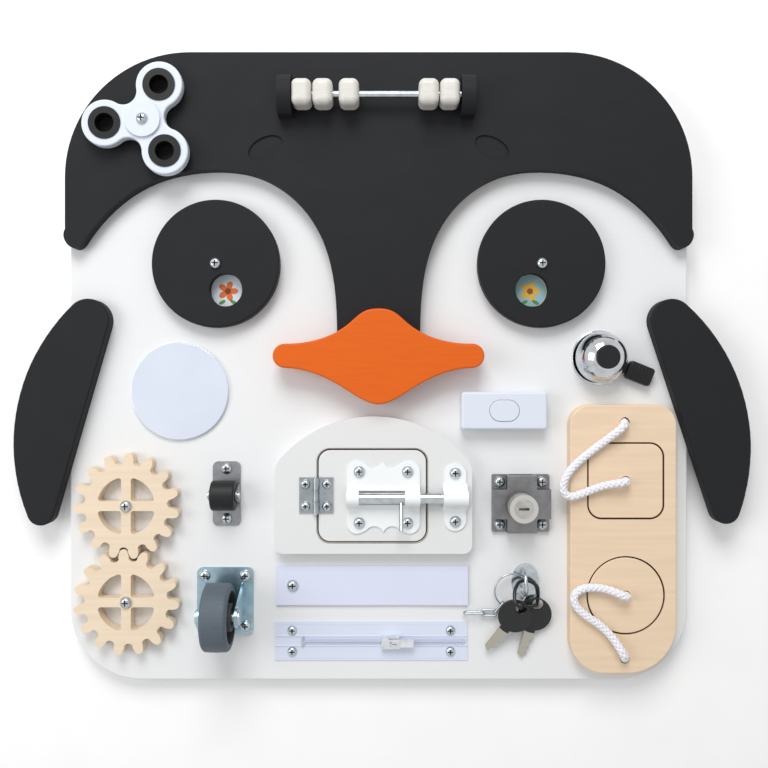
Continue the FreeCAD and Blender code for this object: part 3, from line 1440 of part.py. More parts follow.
named(fuse(cap, flange), "switch_button")
SPRING_TOP = "(switch_height - switch_wall - 2 * running_gap - 1.5)"
coil = cylinder("switch_spring_radius", SPRING_TOP, "switch_x", "switch_y", FACE)
named(cut(coil, cylinder("switch_spring_radius - 0.8", SPRING_TOP, "switch_x", "switch_y", FACE)),
      "switch_spring")

# Bicycle bell

BELL_Z = FACE
bell_floor = plate("bell_floor", circles([("0", "0")], "bell_base_radius"), "bell_base_height", "bell_x",
                   "bell_y", BELL_Z, round_over="0.6")
bell_post = cylinder("bell_post_radius", "bell_dome_top - bell_dome_wall", "bell_x", "bell_y", BELL_Z)
lever_turn = math.radians(number("bell_lever_angle"))
pivot_x = "bell_x + bell_lever_pivot * (%r)" % math.cos(lever_turn)
pivot_y = "bell_y + bell_lever_pivot * (%r)" % math.sin(lever_turn)
bell_pin = cylinder("bell_post_radius / 2", "bell_dome_bottom + 1", pivot_x, pivot_y, BELL_Z)
named(cut(fuse(bell_floor, bell_post, bell_pin), cylinder(PILOT, "screw_grip", "bell_x", "bell_y", BELL_Z)),
      "bell_base")

dome_body = doc.addObject("PartDesign::Body", "bell_dome")
dome_body.Label = "bell_dome"
dome_sketch = new_sketch(dome_body, "0", "XZ_Plane")
dome_wall = number("bell_dome_wall")
dome_wide = number("bell_dome_radius")
dome_low = number("bell_dome_bottom")
dome_high = number("bell_dome_top")
dome_bore = number("bell_post_radius + screw_fit")
shoulder_x = dome_wide * 0.80
shoulder_z = dome_low + (dome_high - dome_low) * 0.68
trace(dome_sketch, (dome_wide, dome_low), ("arc", (shoulder_x, shoulder_z), (dome_bore, dome_high)),
      ("line", (dome_bore, dome_high - dome_wall)),
      ("arc", (shoulder_x - dome_wall * 0.7, shoulder_z - dome_wall * 0.7),
       (dome_wide - dome_wall, dome_low)),
      ("line", (dome_wide, dome_low)))
dome_turn = dome_body.newObject("PartDesign::Revolution", "dome_turn")
dome_turn.Profile = dome_sketch
dome_turn.ReferenceAxis = (dome_sketch, ["V_Axis"])
dome_turn.Angle = 360
place(dome_body, "bell_x", "bell_y", BELL_Z)

plate("bell_cap", circles([("0", "0")], "bell_cap_radius"), "bell_cap_height", "bell_x", "bell_y",
      BELL_Z + " + bell_dome_top", round_over="0.9")

ARM_Z = BELL_Z + " + bell_base_height + running_gap"
arm = doc.addObject("Part::Box", "arm")
bind(arm, Length="bell_lever_start + 3 - bell_lever_pivot", Width="bell_arm_width",
     Height="bell_arm_thickness")
pad_body = doc.addObject("PartDesign::Body", "lever_pad")
pad_sketch = new_sketch(pad_body)
rounded_box(pad_sketch, "bell_lever_start", "bell_lever_end", "-bell_lever_width / 2",
            "bell_lever_width / 2", ["2.2"] * 4)
pad_feature = pad_body.newObject("PartDesign::Pad", "lever_pad_pad")
pad_feature.Profile = pad_sketch
bind(pad_feature, Length="bell_lever_thickness")
doc.recompute()
pad_round = pad_body.newObject("PartDesign::Fillet", "lever_pad_round")
pad_round.Base = (pad_feature, outer_edges(pad_feature.Shape, [number("bell_lever_thickness")]))
pad_round.Radius = 1.2
arm.Placement = Placement(Vector(), Rotation(Vector(0, 0, 1), number("bell_lever_angle")))
pad_body.Placement = Placement(Vector(), Rotation(Vector(0, 0, 1), number("bell_lever_angle")))
side_x = "(bell_arm_width / 2 * (%r))" % math.sin(lever_turn)
side_y = "(bell_arm_width / 2 * (%r))" % math.cos(lever_turn)
place(arm, "%s + %s" % (pivot_x, side_x), "%s - %s" % (pivot_y, side_y), ARM_Z)
place(pad_body, "bell_x", "bell_y", ARM_Z)
eye_end = cylinder("bell_arm_width / 2", "bell_arm_thickness", pivot_x, pivot_y, ARM_Z)
lever_bore = cylinder("bell_post_radius / 2 + pin_fit", "bell_arm_thickness", pivot_x, pivot_y, ARM_Z)
named(cut(fuse(arm, pad_body, eye_end), lever_bore), "bell_lever")

# Drawer lock


def lock_outline(sketch):
    rounded_box(sketch, "-lock_side / 2", "lock_side / 2", "-lock_side / 2", "lock_side / 2", ["1.2"] * 4)


lock_case = plate("lock_case", lock_outline, "lock_height", "lock_x", "lock_y", FACE, round_over="0.6")
for sign in ("-", "+"):
    for other in ("-", "+"):
        spot = ("lock_x %s (lock_side / 2 - lock_pocket / 2)" % sign,
                "lock_y %s (lock_side / 2 - lock_pocket / 2)" % other)
        pocket = block("lock_pocket + 0.01", "lock_pocket + 0.01", "lock_height", spot[0], spot[1],
                       FACE + " + lock_flange")
        hole = cylinder(PILOT, "lock_height", "lock_x %s lock_screw_offset" % sign,
                        "lock_y %s lock_screw_offset" % other, FACE)
        lock_case = cut(lock_case, pocket, hole)
CYLINDER_TOP = "(board_thickness + lock_height + lock_cylinder_height)"
barrel = cylinder("lock_cylinder_radius", "lock_cylinder_height + 0.5", "lock_cylinder_x", "lock_y",
                  FACE + " + lock_height - 0.5")
plug_bore = cylinder("lock_plug_radius + pin_fit", "lock_cylinder_height + 0.5", "lock_cylinder_x", "lock_y",
                     FACE + " + lock_height - 0.5")
channel = block("lock_tongue_width + 2 * running_gap", "lock_tongue_length + 1",
                "lock_tongue_height + 2 * running_gap", "lock_x",
                "lock_y + lock_side / 2 - (lock_tongue_length + 1) / 2 + 0.5", FACE + " + 2")
named(cut(fuse(lock_case, barrel), plug_bore, channel), "lock_body")
plug = cylinder("lock_plug_radius", "lock_cylinder_height + 0.2", "lock_cylinder_x", "lock_y",
                FACE + " + lock_height - 0.2")
keyhole = block("lock_keyhole_length", "lock_keyhole_width", "lock_keyhole_depth", "lock_cylinder_x",
                "lock_y", CYLINDER_TOP + " - lock_keyhole_depth")
named(cut(plug, keyhole), "lock_plug")
named(block("lock_tongue_width", "lock_tongue_length - 1", "lock_tongue_height", "lock_x",
            "lock_y + lock_side / 2 - (lock_tongue_length - 1) / 2 - 0.5", FACE + " + 2 + running_gap"),
      "lock_tongue")

# Keys on their eye plate


def eye_plate_outline(sketch):
    sketch.addGeometry(Part.Ellipse(Vector(0, number("eye_plate_half_length"), 0),
                                    Vector(number("eye_plate_half_width"), 0, 0), Vector()), False)
    for sign in ("-", ""):
        circle(sketch, "bail_x - eye_plate_x", sign + "bail_half_span", "bail_radius")


eye_plate = plate("eye_plate", eye_plate_outline, "eye_plate_thickness", "eye_plate_x", "eye_plate_y", FACE)
bail_low = number("eye_plate_y - bail_half_span")
bail_high = number("eye_plate_y + bail_half_span")
bail_route = [(number("bail_x"), y, height) for y, height in (
    (bail_low, 1 - number("screw_grip")), (bail_low, number("bail_height")),
    (bail_high, number("bail_height")), (bail_high, 1 - number("screw_grip")))]
bail = formed("bail", tube(on_face(bail_route), number("bail_radius"), name="bail"))
named(fuse(eye_plate, bail), "key_eye_plate")


BAIL = ("bail_x", "eye_plate_y")


def chain_link(start, end, upright):
    """A closed link whose end arcs are centred on the two places."""
    along = (end - start).normalize()
    side = Vector(0, 0, 1) if upright else Vector(0, 1, 0)
    half = number("chain_half_width")
    wire = number("chain_wire_radius")
    side = (side - along * side.dot(along)).normalize()
    edges = [
        Part.LineSegment(start + side * half, end + side * half).toShape(),
        Part.Arc(end + side * half, end + along * half, end - side * half).toShape(),
        Part.LineSegment(end - side * half, start - side * half).toShape(),
        Part.Arc(start - side * half, start - along * half, start + side * half).toShape(),
    ]
    ring = Part.Wire(Part.Circle(start + side * half, along, wire).toShape())
    return Part.Wire(edges).makePipeShell([ring], True, False)


spots = on_face(CHAIN, *BAIL)
link_half = number("chain_half_width")
first_end = spots[1] - (spots[1] - spots[0]).normalize() * link_half
links = [
    chain_link(spots[0], first_end, True),
    chain_link(spots[1], spots[2] + Vector(link_half, 0, 0), False),
    chain_link(spots[2], spots[3], True),
]
ring_middle = on_face([RING_MIDDLE], *BAIL)[0]
key_ring = Part.makeTorus(number("key_ring_radius"), number("key_wire_radius"), ring_middle,
                          Vector(*RING_NORMAL))
loop = tube(on_face(KEY_LOOP, *BAIL), number("loop_radius"), closed=True, name="key loop")
formed("key_rings", Part.makeCompound([loop, key_ring] + links))


def key_outline(sketch):
    head = number("key_head_radius")
    half = number("key_blade_width / 2")
    tip = number("key_length")
    root = math.sqrt(head ** 2 - half ** 2)
    trace(sketch, (root, half), ("arc", (-head, 0), (root, -half)), ("line", (tip - 2, -half)),
          ("line", (tip, -0.5)), ("line", (tip - 1.2, 1.0)), ("line", (tip - 3, 0.6)),
          ("line", (tip - 5, 2.4)), ("line", (tip - 7.5, 1.2)), ("line", (tip - 10, 2.6)),
          ("line", (tip - 12.5, 1.4)), ("line", (tip - 15, half)), ("line", (root, half)))
    circle(sketch, "-key_hole_offset", "0", "key_hole_radius")


for label in ("key_a", "key_b"):
    key = plate(label, key_outline, "key_thickness", "bail_x + %s_x" % label, "eye_plate_y + %s_y" % label,
                "board_thickness + %s_height" % label)
    heading = Rotation(Vector(0, 0, 1), number(label + "_heading"))
    key.Placement = Placement(Vector(), heading * Rotation(Vector(0, 1, 0), number(label + "_tilt")))

# Rope panel, its two loose pieces and their ropes


def rope_panel_outline(sketch):
    rounded_box(sketch, "rope_panel_left", "rope_panel_right", "rope_panel_bottom", "rope_panel_top",
                ["rope_panel_left_corner", "rope_panel_right_corner", "rope_panel_top_corner",
                 "rope_panel_top_corner"])
    half = "(square_side / 2 + inset_groove)"
    rounded_box(sketch, "square_x - " + half, "square_x + " + half, "square_y - " + half,
                "square_y + " + half, ["square_corner + inset_groove"] * 4)
    circle(sketch, "circle_x", "circle_y", "circle_radius + inset_groove")
    for route in (ROPE_UPPER, ROPE_LOWER):
        circle(sketch, route[0][0], route[0][1], "rope_hole")


rope_panel = plate("rope_panel", rope_panel_outline, "stock_thickness", z=FACE, round_over="edge_round")
doc.recompute()
panel_back = new_sketch(rope_panel)
for spot in ROPE_PANEL_SCREWS:
    circle(panel_back, spot[0], spot[1], PILOT)
panel_pilots = rope_panel.newObject("PartDesign::Pocket", "panel_pilots")
panel_pilots.Profile = panel_back
panel_pilots.Reversed = True
bind(panel_pilots, Length="screw_grip")


def square_outline(sketch):
    rounded_box(sketch, "-square_side / 2", "square_side / 2", "-square_side / 2", "square_side / 2",
                ["square_corner"] * 4)


for label, draw, x, y in (("square_piece", square_outline, "square_x", "square_y"),
                          ("circle_piece", circles([("0", "0")], "circle_radius"), "circle_x", "circle_y")):
    piece = plate(label, draw, "stock_thickness - running_gap", x, y, FACE + " + running_gap",
                  round_over="edge_round / 2")
    carve(piece, circles([("0", "0")], "rope_hole"), "stock_thickness - rope_end_height",
          "stock_thickness - running_gap")

for label, route in (("rope_upper", ROPE_UPPER), ("rope_lower", ROPE_LOWER)):
    formed(label, tube(on_face(route), number("rope_radius"), name=label))

# Hook-and-loop strap
STRAP_TOP = "(board_thickness + strap_strip_thickness + running_gap)"
strip = block("strap_right - strap_left - 4", "strap_width", "strap_strip_thickness",
              "(strap_left + strap_right - 4) / 2", "strap_y", FACE)
end_pad = block("strap_fold_x - strap_left - running_gap", "strap_width",
                "strap_flap_thickness + running_gap", "(strap_left + strap_fold_x - running_gap) / 2",
                "strap_y", FACE + " + strap_strip_thickness")
named(cut(fuse(strip, end_pad), cylinder(PILOT, "4", "strap_screw_x", "strap_y", FACE)), "strap_base")


def flap_outline(sketch):
    rounded_box(sketch, "strap_fold_x", "strap_right", "-strap_width / 2", "strap_width / 2",
                ["0.4", "4.0", "4.0", "0.4"])


plate("strap_flap", flap_outline, "strap_flap_thickness", "0", "strap_y", STRAP_TOP)

# Zipper
tape = block("zip_right - zip_left", "zip_width", "zip_tape_thickness", "(zip_left + zip_right) / 2",
             "zip_y", FACE)
ridge = block("zip_right - zip_stop_x - 1", "zip_coil_width", "zip_coil_height",
              "(zip_right + zip_stop_x - 1) / 2", "zip_y", FACE + " + zip_tape_thickness")
stop = block("2", "zip_coil_width + 2", "zip_coil_height + 0.6", "zip_stop_x - 1", "zip_y",
             FACE + " + zip_tape_thickness")
zip_spots = [(x, "zip_y %s zip_screw_y" % sign) for x in ("zip_screw_left", "zip_screw_right")
             for sign in ("-", "+")]
tape_holes = [cylinder(PILOT, "zip_tape_thickness", x, y, FACE) for x, y in zip_spots]
named(cut(fuse(tape, ridge, stop), *tape_holes), "zipper_tapes")
SLIDER_LOW = "(board_thickness + zip_tape_thickness + running_gap)"
PULL_Z = "(board_thickness + zip_tape_thickness + running_gap + zip_slider_height + 1.2)"
SADDLE_X = "(zip_slider_x - 1)"
shell = block("zip_slider_length", "zip_slider_width", "zip_slider_height", "zip_slider_x", "zip_y",
              SLIDER_LOW)
throat = block("zip_slider_length + 2", "zip_coil_width + 2 * running_gap",
               "zip_coil_height + running_gap", "zip_slider_x", "zip_y", SLIDER_LOW + " - running_gap")
saddle = block("3.6", "1.2", "zip_slider_height / 2 + 2.4", SADDLE_X, "zip_y",
               SLIDER_LOW + " + zip_slider_height / 2")
saddle_bore = cylinder("0.7", "4", SADDLE_X, "zip_y - 2", PULL_Z, "y")
named(cut(fuse(shell, saddle), throat, saddle_bore), "zipper_slider")
tab = block("zip_pull_length", "zip_pull_width", "zip_pull_thickness", SADDLE_X + " + zip_pull_length / 2",
            "zip_y", PULL_Z + " - zip_pull_thickness / 2")
tab_slot = block("7.4", "2.0", "4", SADDLE_X + " + 1.4", "zip_y", PULL_Z + " - 2")
tab_bar = cylinder("0.6", "zip_pull_width", SADDLE_X, "zip_y - zip_pull_width / 2", PULL_Z, "y")
named(fuse(cut(tab, tab_slot), tab_bar), "zipper_pull")

# Screws, driven from the front and from the back: place, height under the head, length, small or not
FITTING = "fitting_screw_length"
SPINNER_TOP = SPINNER_BOTTOM + " + spinner_thickness + running_gap + hub_cap_height"
front = [(x, y, TURNING_TOP + " + running_gap", "pivot_screw_length", False) for x, y in turning_spots]
front.append(("spinner_x", "spinner_y", SPINNER_TOP, "spinner_screw_length", False))
for sign in ("-", "+"):
    front.append(("roller_x", "roller_y %s roller_screw_offset" % sign, FACE + " + bracket_sheet", FITTING,
                  False))
    for other in ("-", "+"):
        front.append(("caster_x %s caster_screw_x" % sign, "caster_y %s caster_screw_y" % other,
                      FACE + " + caster_sheet", FITTING, False))
        front.append(("lock_x %s lock_screw_offset" % sign, "lock_y %s lock_screw_offset" % other,
                      FACE + " + lock_flange", FITTING, False))
front.append(("strap_screw_x", "strap_y", STRAP_TOP + " + strap_flap_thickness", FITTING, False))
front += [(x, y, FACE + " + zip_tape_thickness", FITTING, True) for x, y in zip_spots]
front += [(x, y, DECK + " + bolt_sheet", "door_screw_length", False) for x, y in keeper_spots]
front += [(x, y, DECK + " + hinge_sheet", "door_screw_length", True) for x, y in leaf_spots("-")]
formed("board_screws", Part.makeCompound(screws_at(front)))
on_door = [(x, y, DECK + " + hinge_sheet", "door_screw_length", True) for x, y in leaf_spots("+")]
on_door += [(x, y, DECK + " + bolt_sheet", "door_screw_length", False) for x, y in bolt_spots]
formed("door_screws", Part.makeCompound(screws_at(on_door)))

short = HOOD_SCREWS + DOOR_PANEL_SCREWS + ROPE_PANEL_SCREWS + BELL_AND_SWITCH_SCREWS
rear = [(x, y, "rear_screw_length") for x, y in short]
rear += [(x, y, "long_screw_length") for x, y in BEAK_SCREWS]
rear += [(side * x, y, "rear_screw_length") for side in (-1, 1) for x, y in FLIPPER_SCREWS]
rear += [(x, "rod_y", "long_screw_length") for x in ("post_left_x", "post_right_x")]
rear_solids = []
for x, y, length in rear:
    screw = flat_screw(number(length))
    screw.translate(Vector(number(x), number(y), 0))
    rear_solids.append(screw)
formed("rear_screws", Part.makeCompound(rear_solids))

NODES = (
    "base_board hood flippers beak rear_screws board_screws eye_prints pivot_washers mirror spinner_hub "
    "abacus_posts abacus_rod roller_bracket caster_bracket axles door_frame hinge_leaf_fixed bolt_keeper "
    "bell_base bell_dome bell_cap switch_housing lock_body key_eye_plate rope_panel strap_base zipper_tapes "
    "eye_disc_left eye_disc_right spinner_body spinner_weights bead_1 bead_2 bead_3 bead_4 bead_5 gear_top "
    "gear_bottom roller caster_wheel door_leaf hinge_leaf_moving bolt_plate door_screws bolt_rod bell_lever "
    "switch_button switch_spring lock_plug lock_tongue key_rings key_a key_b square_piece circle_piece "
    "rope_upper rope_lower strap_flap zipper_slider zipper_pull").split()

doc.recompute()
faults = []
for item in doc.Objects:
    if "Invalid" in item.State or "Error" in item.State:
        faults.append("%s (%s) is not computed" % (item.Name, item.Label))
for node in NODES:
    found = doc.getObjectsByLabel(node)
    if len(found) != 1:
        faults.append("%s: %d objects carry this name" % (node, len(found)))
    elif found[0].Shape.isNull() or not found[0].Shape.isValid() or found[0].Shape.Volume < 1e-3:
        faults.append("%s has no valid solid" % node)
if faults:
    raise RuntimeError("; ".join(faults))
os.makedirs("parts", exist_ok=True)
for node in NODES:
    doc.getObjectsByLabel(node)[0].Shape.exportStep("parts/%s.step" % node)
    print(node, "solids", len(doc.getObjectsByLabel(node)[0].Shape.Solids))
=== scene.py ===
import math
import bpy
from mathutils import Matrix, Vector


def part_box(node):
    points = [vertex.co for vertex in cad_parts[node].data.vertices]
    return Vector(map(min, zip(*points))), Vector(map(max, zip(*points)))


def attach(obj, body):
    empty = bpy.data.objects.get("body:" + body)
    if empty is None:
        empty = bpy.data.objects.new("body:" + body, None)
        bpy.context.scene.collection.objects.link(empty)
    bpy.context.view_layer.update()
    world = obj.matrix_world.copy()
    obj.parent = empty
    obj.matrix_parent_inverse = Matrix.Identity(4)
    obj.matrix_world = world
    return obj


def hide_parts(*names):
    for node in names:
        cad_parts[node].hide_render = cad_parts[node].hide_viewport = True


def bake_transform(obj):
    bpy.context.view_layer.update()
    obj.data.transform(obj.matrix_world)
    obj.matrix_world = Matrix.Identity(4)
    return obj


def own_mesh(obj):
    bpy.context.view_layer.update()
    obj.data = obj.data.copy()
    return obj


bl_info = {
    "name": "Wooden busy board",
    "version": (1, 0, 0),
    "blender": (4, 5, 0),
    "location": "View3D > Sidebar > Busy board",
    "description": "Finishes, cloth, ropes and small details of a wooden busy board",
    "category": "Object",
}

import bmesh
import bpy
from mathutils import Matrix, Vector

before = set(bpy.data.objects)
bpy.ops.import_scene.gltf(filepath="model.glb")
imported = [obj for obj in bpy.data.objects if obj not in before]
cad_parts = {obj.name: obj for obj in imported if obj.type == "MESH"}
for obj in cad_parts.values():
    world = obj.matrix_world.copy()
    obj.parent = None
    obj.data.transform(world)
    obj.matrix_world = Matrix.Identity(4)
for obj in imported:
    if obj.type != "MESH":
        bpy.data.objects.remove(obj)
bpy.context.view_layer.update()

MM = 0.001
FACE = 0.012  # height of the board's front face
LINING_LIFT = 0.0002  # how far the linings of the cut-outs start above it
CLOTH_CELL = 0.002  # length of one cell of a cloth's mesh

# Routes of the two ropes, in metres: the same points as in the part's source
ROPE_UPPER = [
    (0.1696, -0.0368, 0.0160), (0.1694, -0.0370, 0.0246), (0.1654, -0.0410, 0.0292),
    (0.1560, -0.0486, 0.0260), (0.1430, -0.0584, 0.0254), (0.1324, -0.0676, 0.0254),
    (0.1264, -0.0770, 0.0254), (0.1259, -0.0846, 0.0254), (0.1306, -0.0884, 0.0254),
    (0.1388, -0.0860, 0.0255), (0.1500, -0.0812, 0.0260), (0.1600, -0.0786, 0.0282),
    (0.1680, -0.0774, 0.0300), (0.1701, -0.0773, 0.0246), (0.1701, -0.0773, 0.0170),
]
ROPE_LOWER = [
    (0.1695, -0.1999, 0.0160), (0.1693, -0.1995, 0.0246), (0.1666, -0.1946, 0.0292),
    (0.1606, -0.1846, 0.0260), (0.1520, -0.1758, 0.0254), (0.1416, -0.1692, 0.0254),
    (0.1346, -0.1626, 0.0254), (0.1330, -0.1558, 0.0254), (0.1380, -0.1508, 0.0254),
    (0.1476, -0.1496, 0.0256), (0.1570, -0.1510, 0.0264), (0.1636, -0.1534, 0.0290),
    (0.1692, -0.1559, 0.0296), (0.1701, -0.1562, 0.0242), (0.1701, -0.1562, 0.0170),
]

# The parts of the key bunch that need a metal of their own, as in the part's source
RING_MIDDLE = (0.0921, -0.1541, 0.01635)
RING_NORMAL = (0.11808, -0.13382, 0.98395)
RING_RADIUS = 0.0118
RING_REACH = 0.0007  # how far from that circle counts as the ring
CHAIN_END = 0.0880  # all of the bunch that is further left is chain
KEY_HEADS = {"key_a": (0.0938, -0.1698), "key_b": (0.1084, -0.1703)}
KEY_BOW = 0.0135  # radius of the moulded bow round a key's head

BARREL_FOOT = 0.0330  # height where the lock's turned barrel starts
HUB = 0.0172  # radius where the caster's tread starts

# The bell's middle and the direction in degrees in which its lever points
BELL = (0.154, 0.0076, 0.0)
LEVER_TURN = -22.0

# The prints under the eye discs: the disc's middle, the first window's direction in degrees and the
# inks of the ground, the petals, the heart and the leaves
PRINTS = {
    "left": (-0.1125, -69.0, ["#dfeaf2", "#e2702e", "#7a3415", "#5d9440"]),
    "right": (0.1125, -110.0, ["#9cc3c9", "#e9b53c", "#8a4d1c", "#4f8f4a"]),
}
EYE_HEIGHT = 0.0725
WINDOW_OUT = 0.0195  # from the disc's middle to a window's middle
PRINT_TOP = FACE + 0.00032
INK = 0.00004  # thickness of a patch of ink, thicker than real so that the layers stay apart

STRANDS = 8
STRAND_SHARE = 0.36  # a strand's radius as a share of the rope's
WAVE_SHARE = 0.10  # how far a strand rises and sinks where it crosses another

# The teeth of the zipper: where the row starts, and for each side from where to where a tooth
# reaches across the middle, in millimetres
TEETH_START = -0.0515
TEETH = ((-1, -2.1, 0.6), (1, -0.5, 2.0))

# Name, place, power in watts and width in metres
LAMPS = (
    ("top_light", (-0.15, 1.15, 1.15), 16.0, 0.8),
    ("side_light", (-1.0, 0.1, 0.9), 4.5, 0.7),
)
CAMERA = (0.0037, -0.01065, 0.602)
LENS = 39.5  # millimetres, on a sensor 36 mm wide


def linear(text):
    """An sRGB hex colour as the linear red, green, blue and alpha that shaders take."""
    channels = [int(text[i:i + 2], 16) / 255 for i in (1, 3, 5)]
    return [c / 12.92 if c <= 0.04045 else ((c + 0.055) / 1.055) ** 2.4 for c in channels] + [1.0]


def shade(colour, factor):
    """The same colour, darker or paler by a factor."""
    return [min(1.0, c * factor) for c in colour[:3]] + [1.0]


# Properties

def colour_property(name, about, text):
    """A colour with an sRGB hex as its default."""
    return bpy.props.FloatVectorProperty(name=name, description=about, subtype="COLOR", size=4,
                                         min=0.0, max=1.0, default=linear(text))


def length_property(name, about, millimetres):
    """A length with a default in millimetres."""
    return bpy.props.FloatProperty(name=name, description=about, unit="LENGTH", default=millimetres * MM)


class BusyBoardColours(bpy.types.PropertyGroup):
    board: colour_property("Board", "White satin paint on the base board", "#eaebec")
    panel: colour_property("Door panel", "Warm white paint on the door and its panel", "#e3e4e4")
    black: colour_property("Black paint", "Matt black stain of hood, flippers and discs", "#1d1e21")
    beak: colour_property("Beak", "Orange paint", "#df6419")
    birch: colour_property("Birch", "Bare birch plywood", "#ebd2b5")
    gear: colour_property("Gears", "Bare pale plywood of the gears", "#ebd8be")
    burn: colour_property("Burnt edge", "Laser-cut edge in the birch panel", "#4a3018")
    # Grey lining of the door's gap: painted shade that stands for the shade in the narrow gap
    groove: colour_property("Door groove", "Painted gap shade in the groove round the door", "#b3aca3")
    steel: colour_property("Steel", "Bright zinc on screws, rod and hinge", "#c3cbd0")
    zinc: colour_property("Blue zinc", "Bluish zinc plating on the caster's bracket", "#a9c4cf")
    bracket: colour_property("Grey bracket", "Nickel-grey plating under the roller", "#96979a")
    enamel: colour_property("Enamel", "White powder coat of the bolt's plate", "#f3f6f7")
    cast: colour_property("Lock", "Grey die-cast lock", "#88888a")
    chrome: colour_property("Chrome", "Polished chrome of the bell", "#d3d7db")
    plastic: colour_property("White plastic", "Moulded white spinner and switch", "#dde4ef")
    ink: colour_property("Black plastic", "Moulded black plastic and rubber", "#141517")
    tread: colour_property("Tread", "Grey rubber tread of the caster", "#525d67")
    # Mirror: a mostly diffuse colour that paints the reflection of a pale room
    acrylic: colour_property("Mirror", "Silvered acrylic that reflects a pale room", "#dfe6f4")
    strap: colour_property("Strap", "Cool white woven strap", "#dde2f5")
    tape: colour_property("Zipper tape", "Cool white zipper tape", "#dde4f5")
    rope: colour_property("Rope", "White braided cotton", "#f0f0f6")


class BusyBoardSizes(bpy.types.PropertyGroup):
    rope_diameter: length_property("Rope diameter", "Over the strands", 6.0)
    rope_pitch: length_property("Braid pitch", "One turn of a strand along the rope", 14.0)
    stitch: length_property("Stitch", "Length of one stitch", 2.2)
    tooth_step: length_property("Tooth step", "Distance between the zipper's teeth", 1.5)


# Materials

def add(tree, kind, **given):
    """A node with its settings; a name with a capital or i0, i1 is a socket that is set or linked."""
    node = tree.nodes.new("ShaderNode" + kind)
    for key, value in given.items():
        if key[0].islower() and not key[1:].isdigit():
            setattr(node, key, value)
            continue
        socket = node.inputs[int(key[1:])] if key[0] == "i" else node.inputs[key.replace("_", " ")]
        if isinstance(value, bpy.types.NodeSocket):
            tree.links.new(value, socket)
        else:
            socket.default_value = value
    return node


def finish(name, colour, roughness, metallic=0.0, **more):
    """A plain surface; returns the material, its tree, its shader and the object's own coordinates."""
    material = bpy.data.materials.new(name)
    material.use_nodes = True
    tree = material.node_tree
    shader = tree.nodes["Principled BSDF"]
    shader.inputs["Base Color"].default_value = colour[:]
    shader.inputs["Roughness"].default_value = roughness
    shader.inputs["Metallic"].default_value = metallic
    for key, value in more.items():
        shader.inputs[key.replace("_", " ")].default_value = value
    return material, tree, shader, add(tree, "TexCoord").outputs["Object"]


def masked(tree, shader, mask, low, high):
    """Colour that goes from low to high where a mask goes from 0 to 1."""
    mixed = add(tree, "Mix", data_type="RGBA", i0=mask, i6=low, i7=high)
    tree.links.new(mixed.outputs[2], shader.inputs["Base Color"])
    return mixed.outputs[2]


def stretched(tree, place, length, width, detail=3.0):
    """Noise drawn out along X: one patch is length by width millimetres."""
    scale = (1 / (length * MM), 1 / (width * MM), 1 / (width * MM))
    scaled = add(tree, "Mapping", Vector=place, Scale=scale)
    return add(tree, "TexNoise", Vector=scaled.outputs[0], Scale=1.0, Detail=detail).outputs[0]


def tint(tree, shader, pattern, low, high, start=0.35, end=0.65):
    """Colour that runs from low to high with a pattern."""
    level = add(tree, "MapRange", Value=pattern, From_Min=start, From_Max=end).outputs[0]
    return masked(tree, shader, level, low, high)


def emboss(tree, shader, pattern, depth, strength=0.5):
    """Bumps as deep as depth millimetres."""
    bump = add(tree, "Bump", Height=pattern, Distance=depth * MM, Strength=strength)
    tree.links.new(bump.outputs[0], shader.inputs["Normal"])


def painted_plywood(name, colour, grain=0.04, roughness=0.45):
    """Sprayed plywood: an even colour, with the grain just showing as fine raised lines."""
    material, tree, shader, place = finish(name, colour, roughness, Specular_IOR_Level=0.2)
    lines = stretched(tree, place, 22.0, 0.7)
    tint(tree, shader, lines, shade(colour, 1 - grain), shade(colour, 1 + grain))
    emboss(tree, shader, lines, 0.05, 0.25)
    rub = add(tree, "MapRange", Value=stretched(tree, place, 30.0, 18.0), To_Min=roughness - 0.05,
              To_Max=roughness + 0.1)
    tree.links.new(rub.outputs[0], shader.inputs["Roughness"])
    return material


def bare_birch(name, colour):
    """Sanded birch veneer: pale, with soft streaks along the grain and short darker pores."""
    material, tree, shader, place = finish(name, colour, 0.55, Specular_IOR_Level=0.25)
    streaks = stretched(tree, place, 60.0, 3.2, 4.0)
    pores = stretched(tree, place, 5.0, 0.35, 2.0)
    base = tint(tree, shader, streaks, shade(colour, 0.96), shade(colour, 1.03))
    dark = add(tree, "MapRange", Value=pores, From_Min=0.62, From_Max=0.78, To_Min=0.0, To_Max=0.35)
    masked(tree, shader, dark.outputs[0], base, shade(colour, 0.72))
    emboss(tree, shader, pores, 0.05, 0.3)
    return material


def plated_steel(name, colour, roughness):
    """Zinc or nickel plating: metallic, with faint cloudy patches and fine scratches."""
    material, tree, shader, place = finish(name, colour, roughness, 1.0)
    clouds = stretched(tree, place, 6.0, 5.0)
    scratches = stretched(tree, place, 14.0, 0.25)
    tint(tree, shader, clouds, shade(colour, 0.86), shade(colour, 1.08))
    emboss(tree, shader, scratches, 0.02, 0.25)
    return material


def moulded_plastic(name, colour, roughness, grit=0.5):
    """Injection-moulded plastic: smooth, with the fine eroded texture of the mould."""
    material, tree, shader, place = finish(name, colour, roughness, IOR=1.49, Specular_IOR_Level=0.35)
    spots = stretched(tree, place, grit, grit)
    tint(tree, shader, spots, shade(colour, 0.97), shade(colour, 1.03))
    emboss(tree, shader, spots, 0.03, 0.2)
    return material


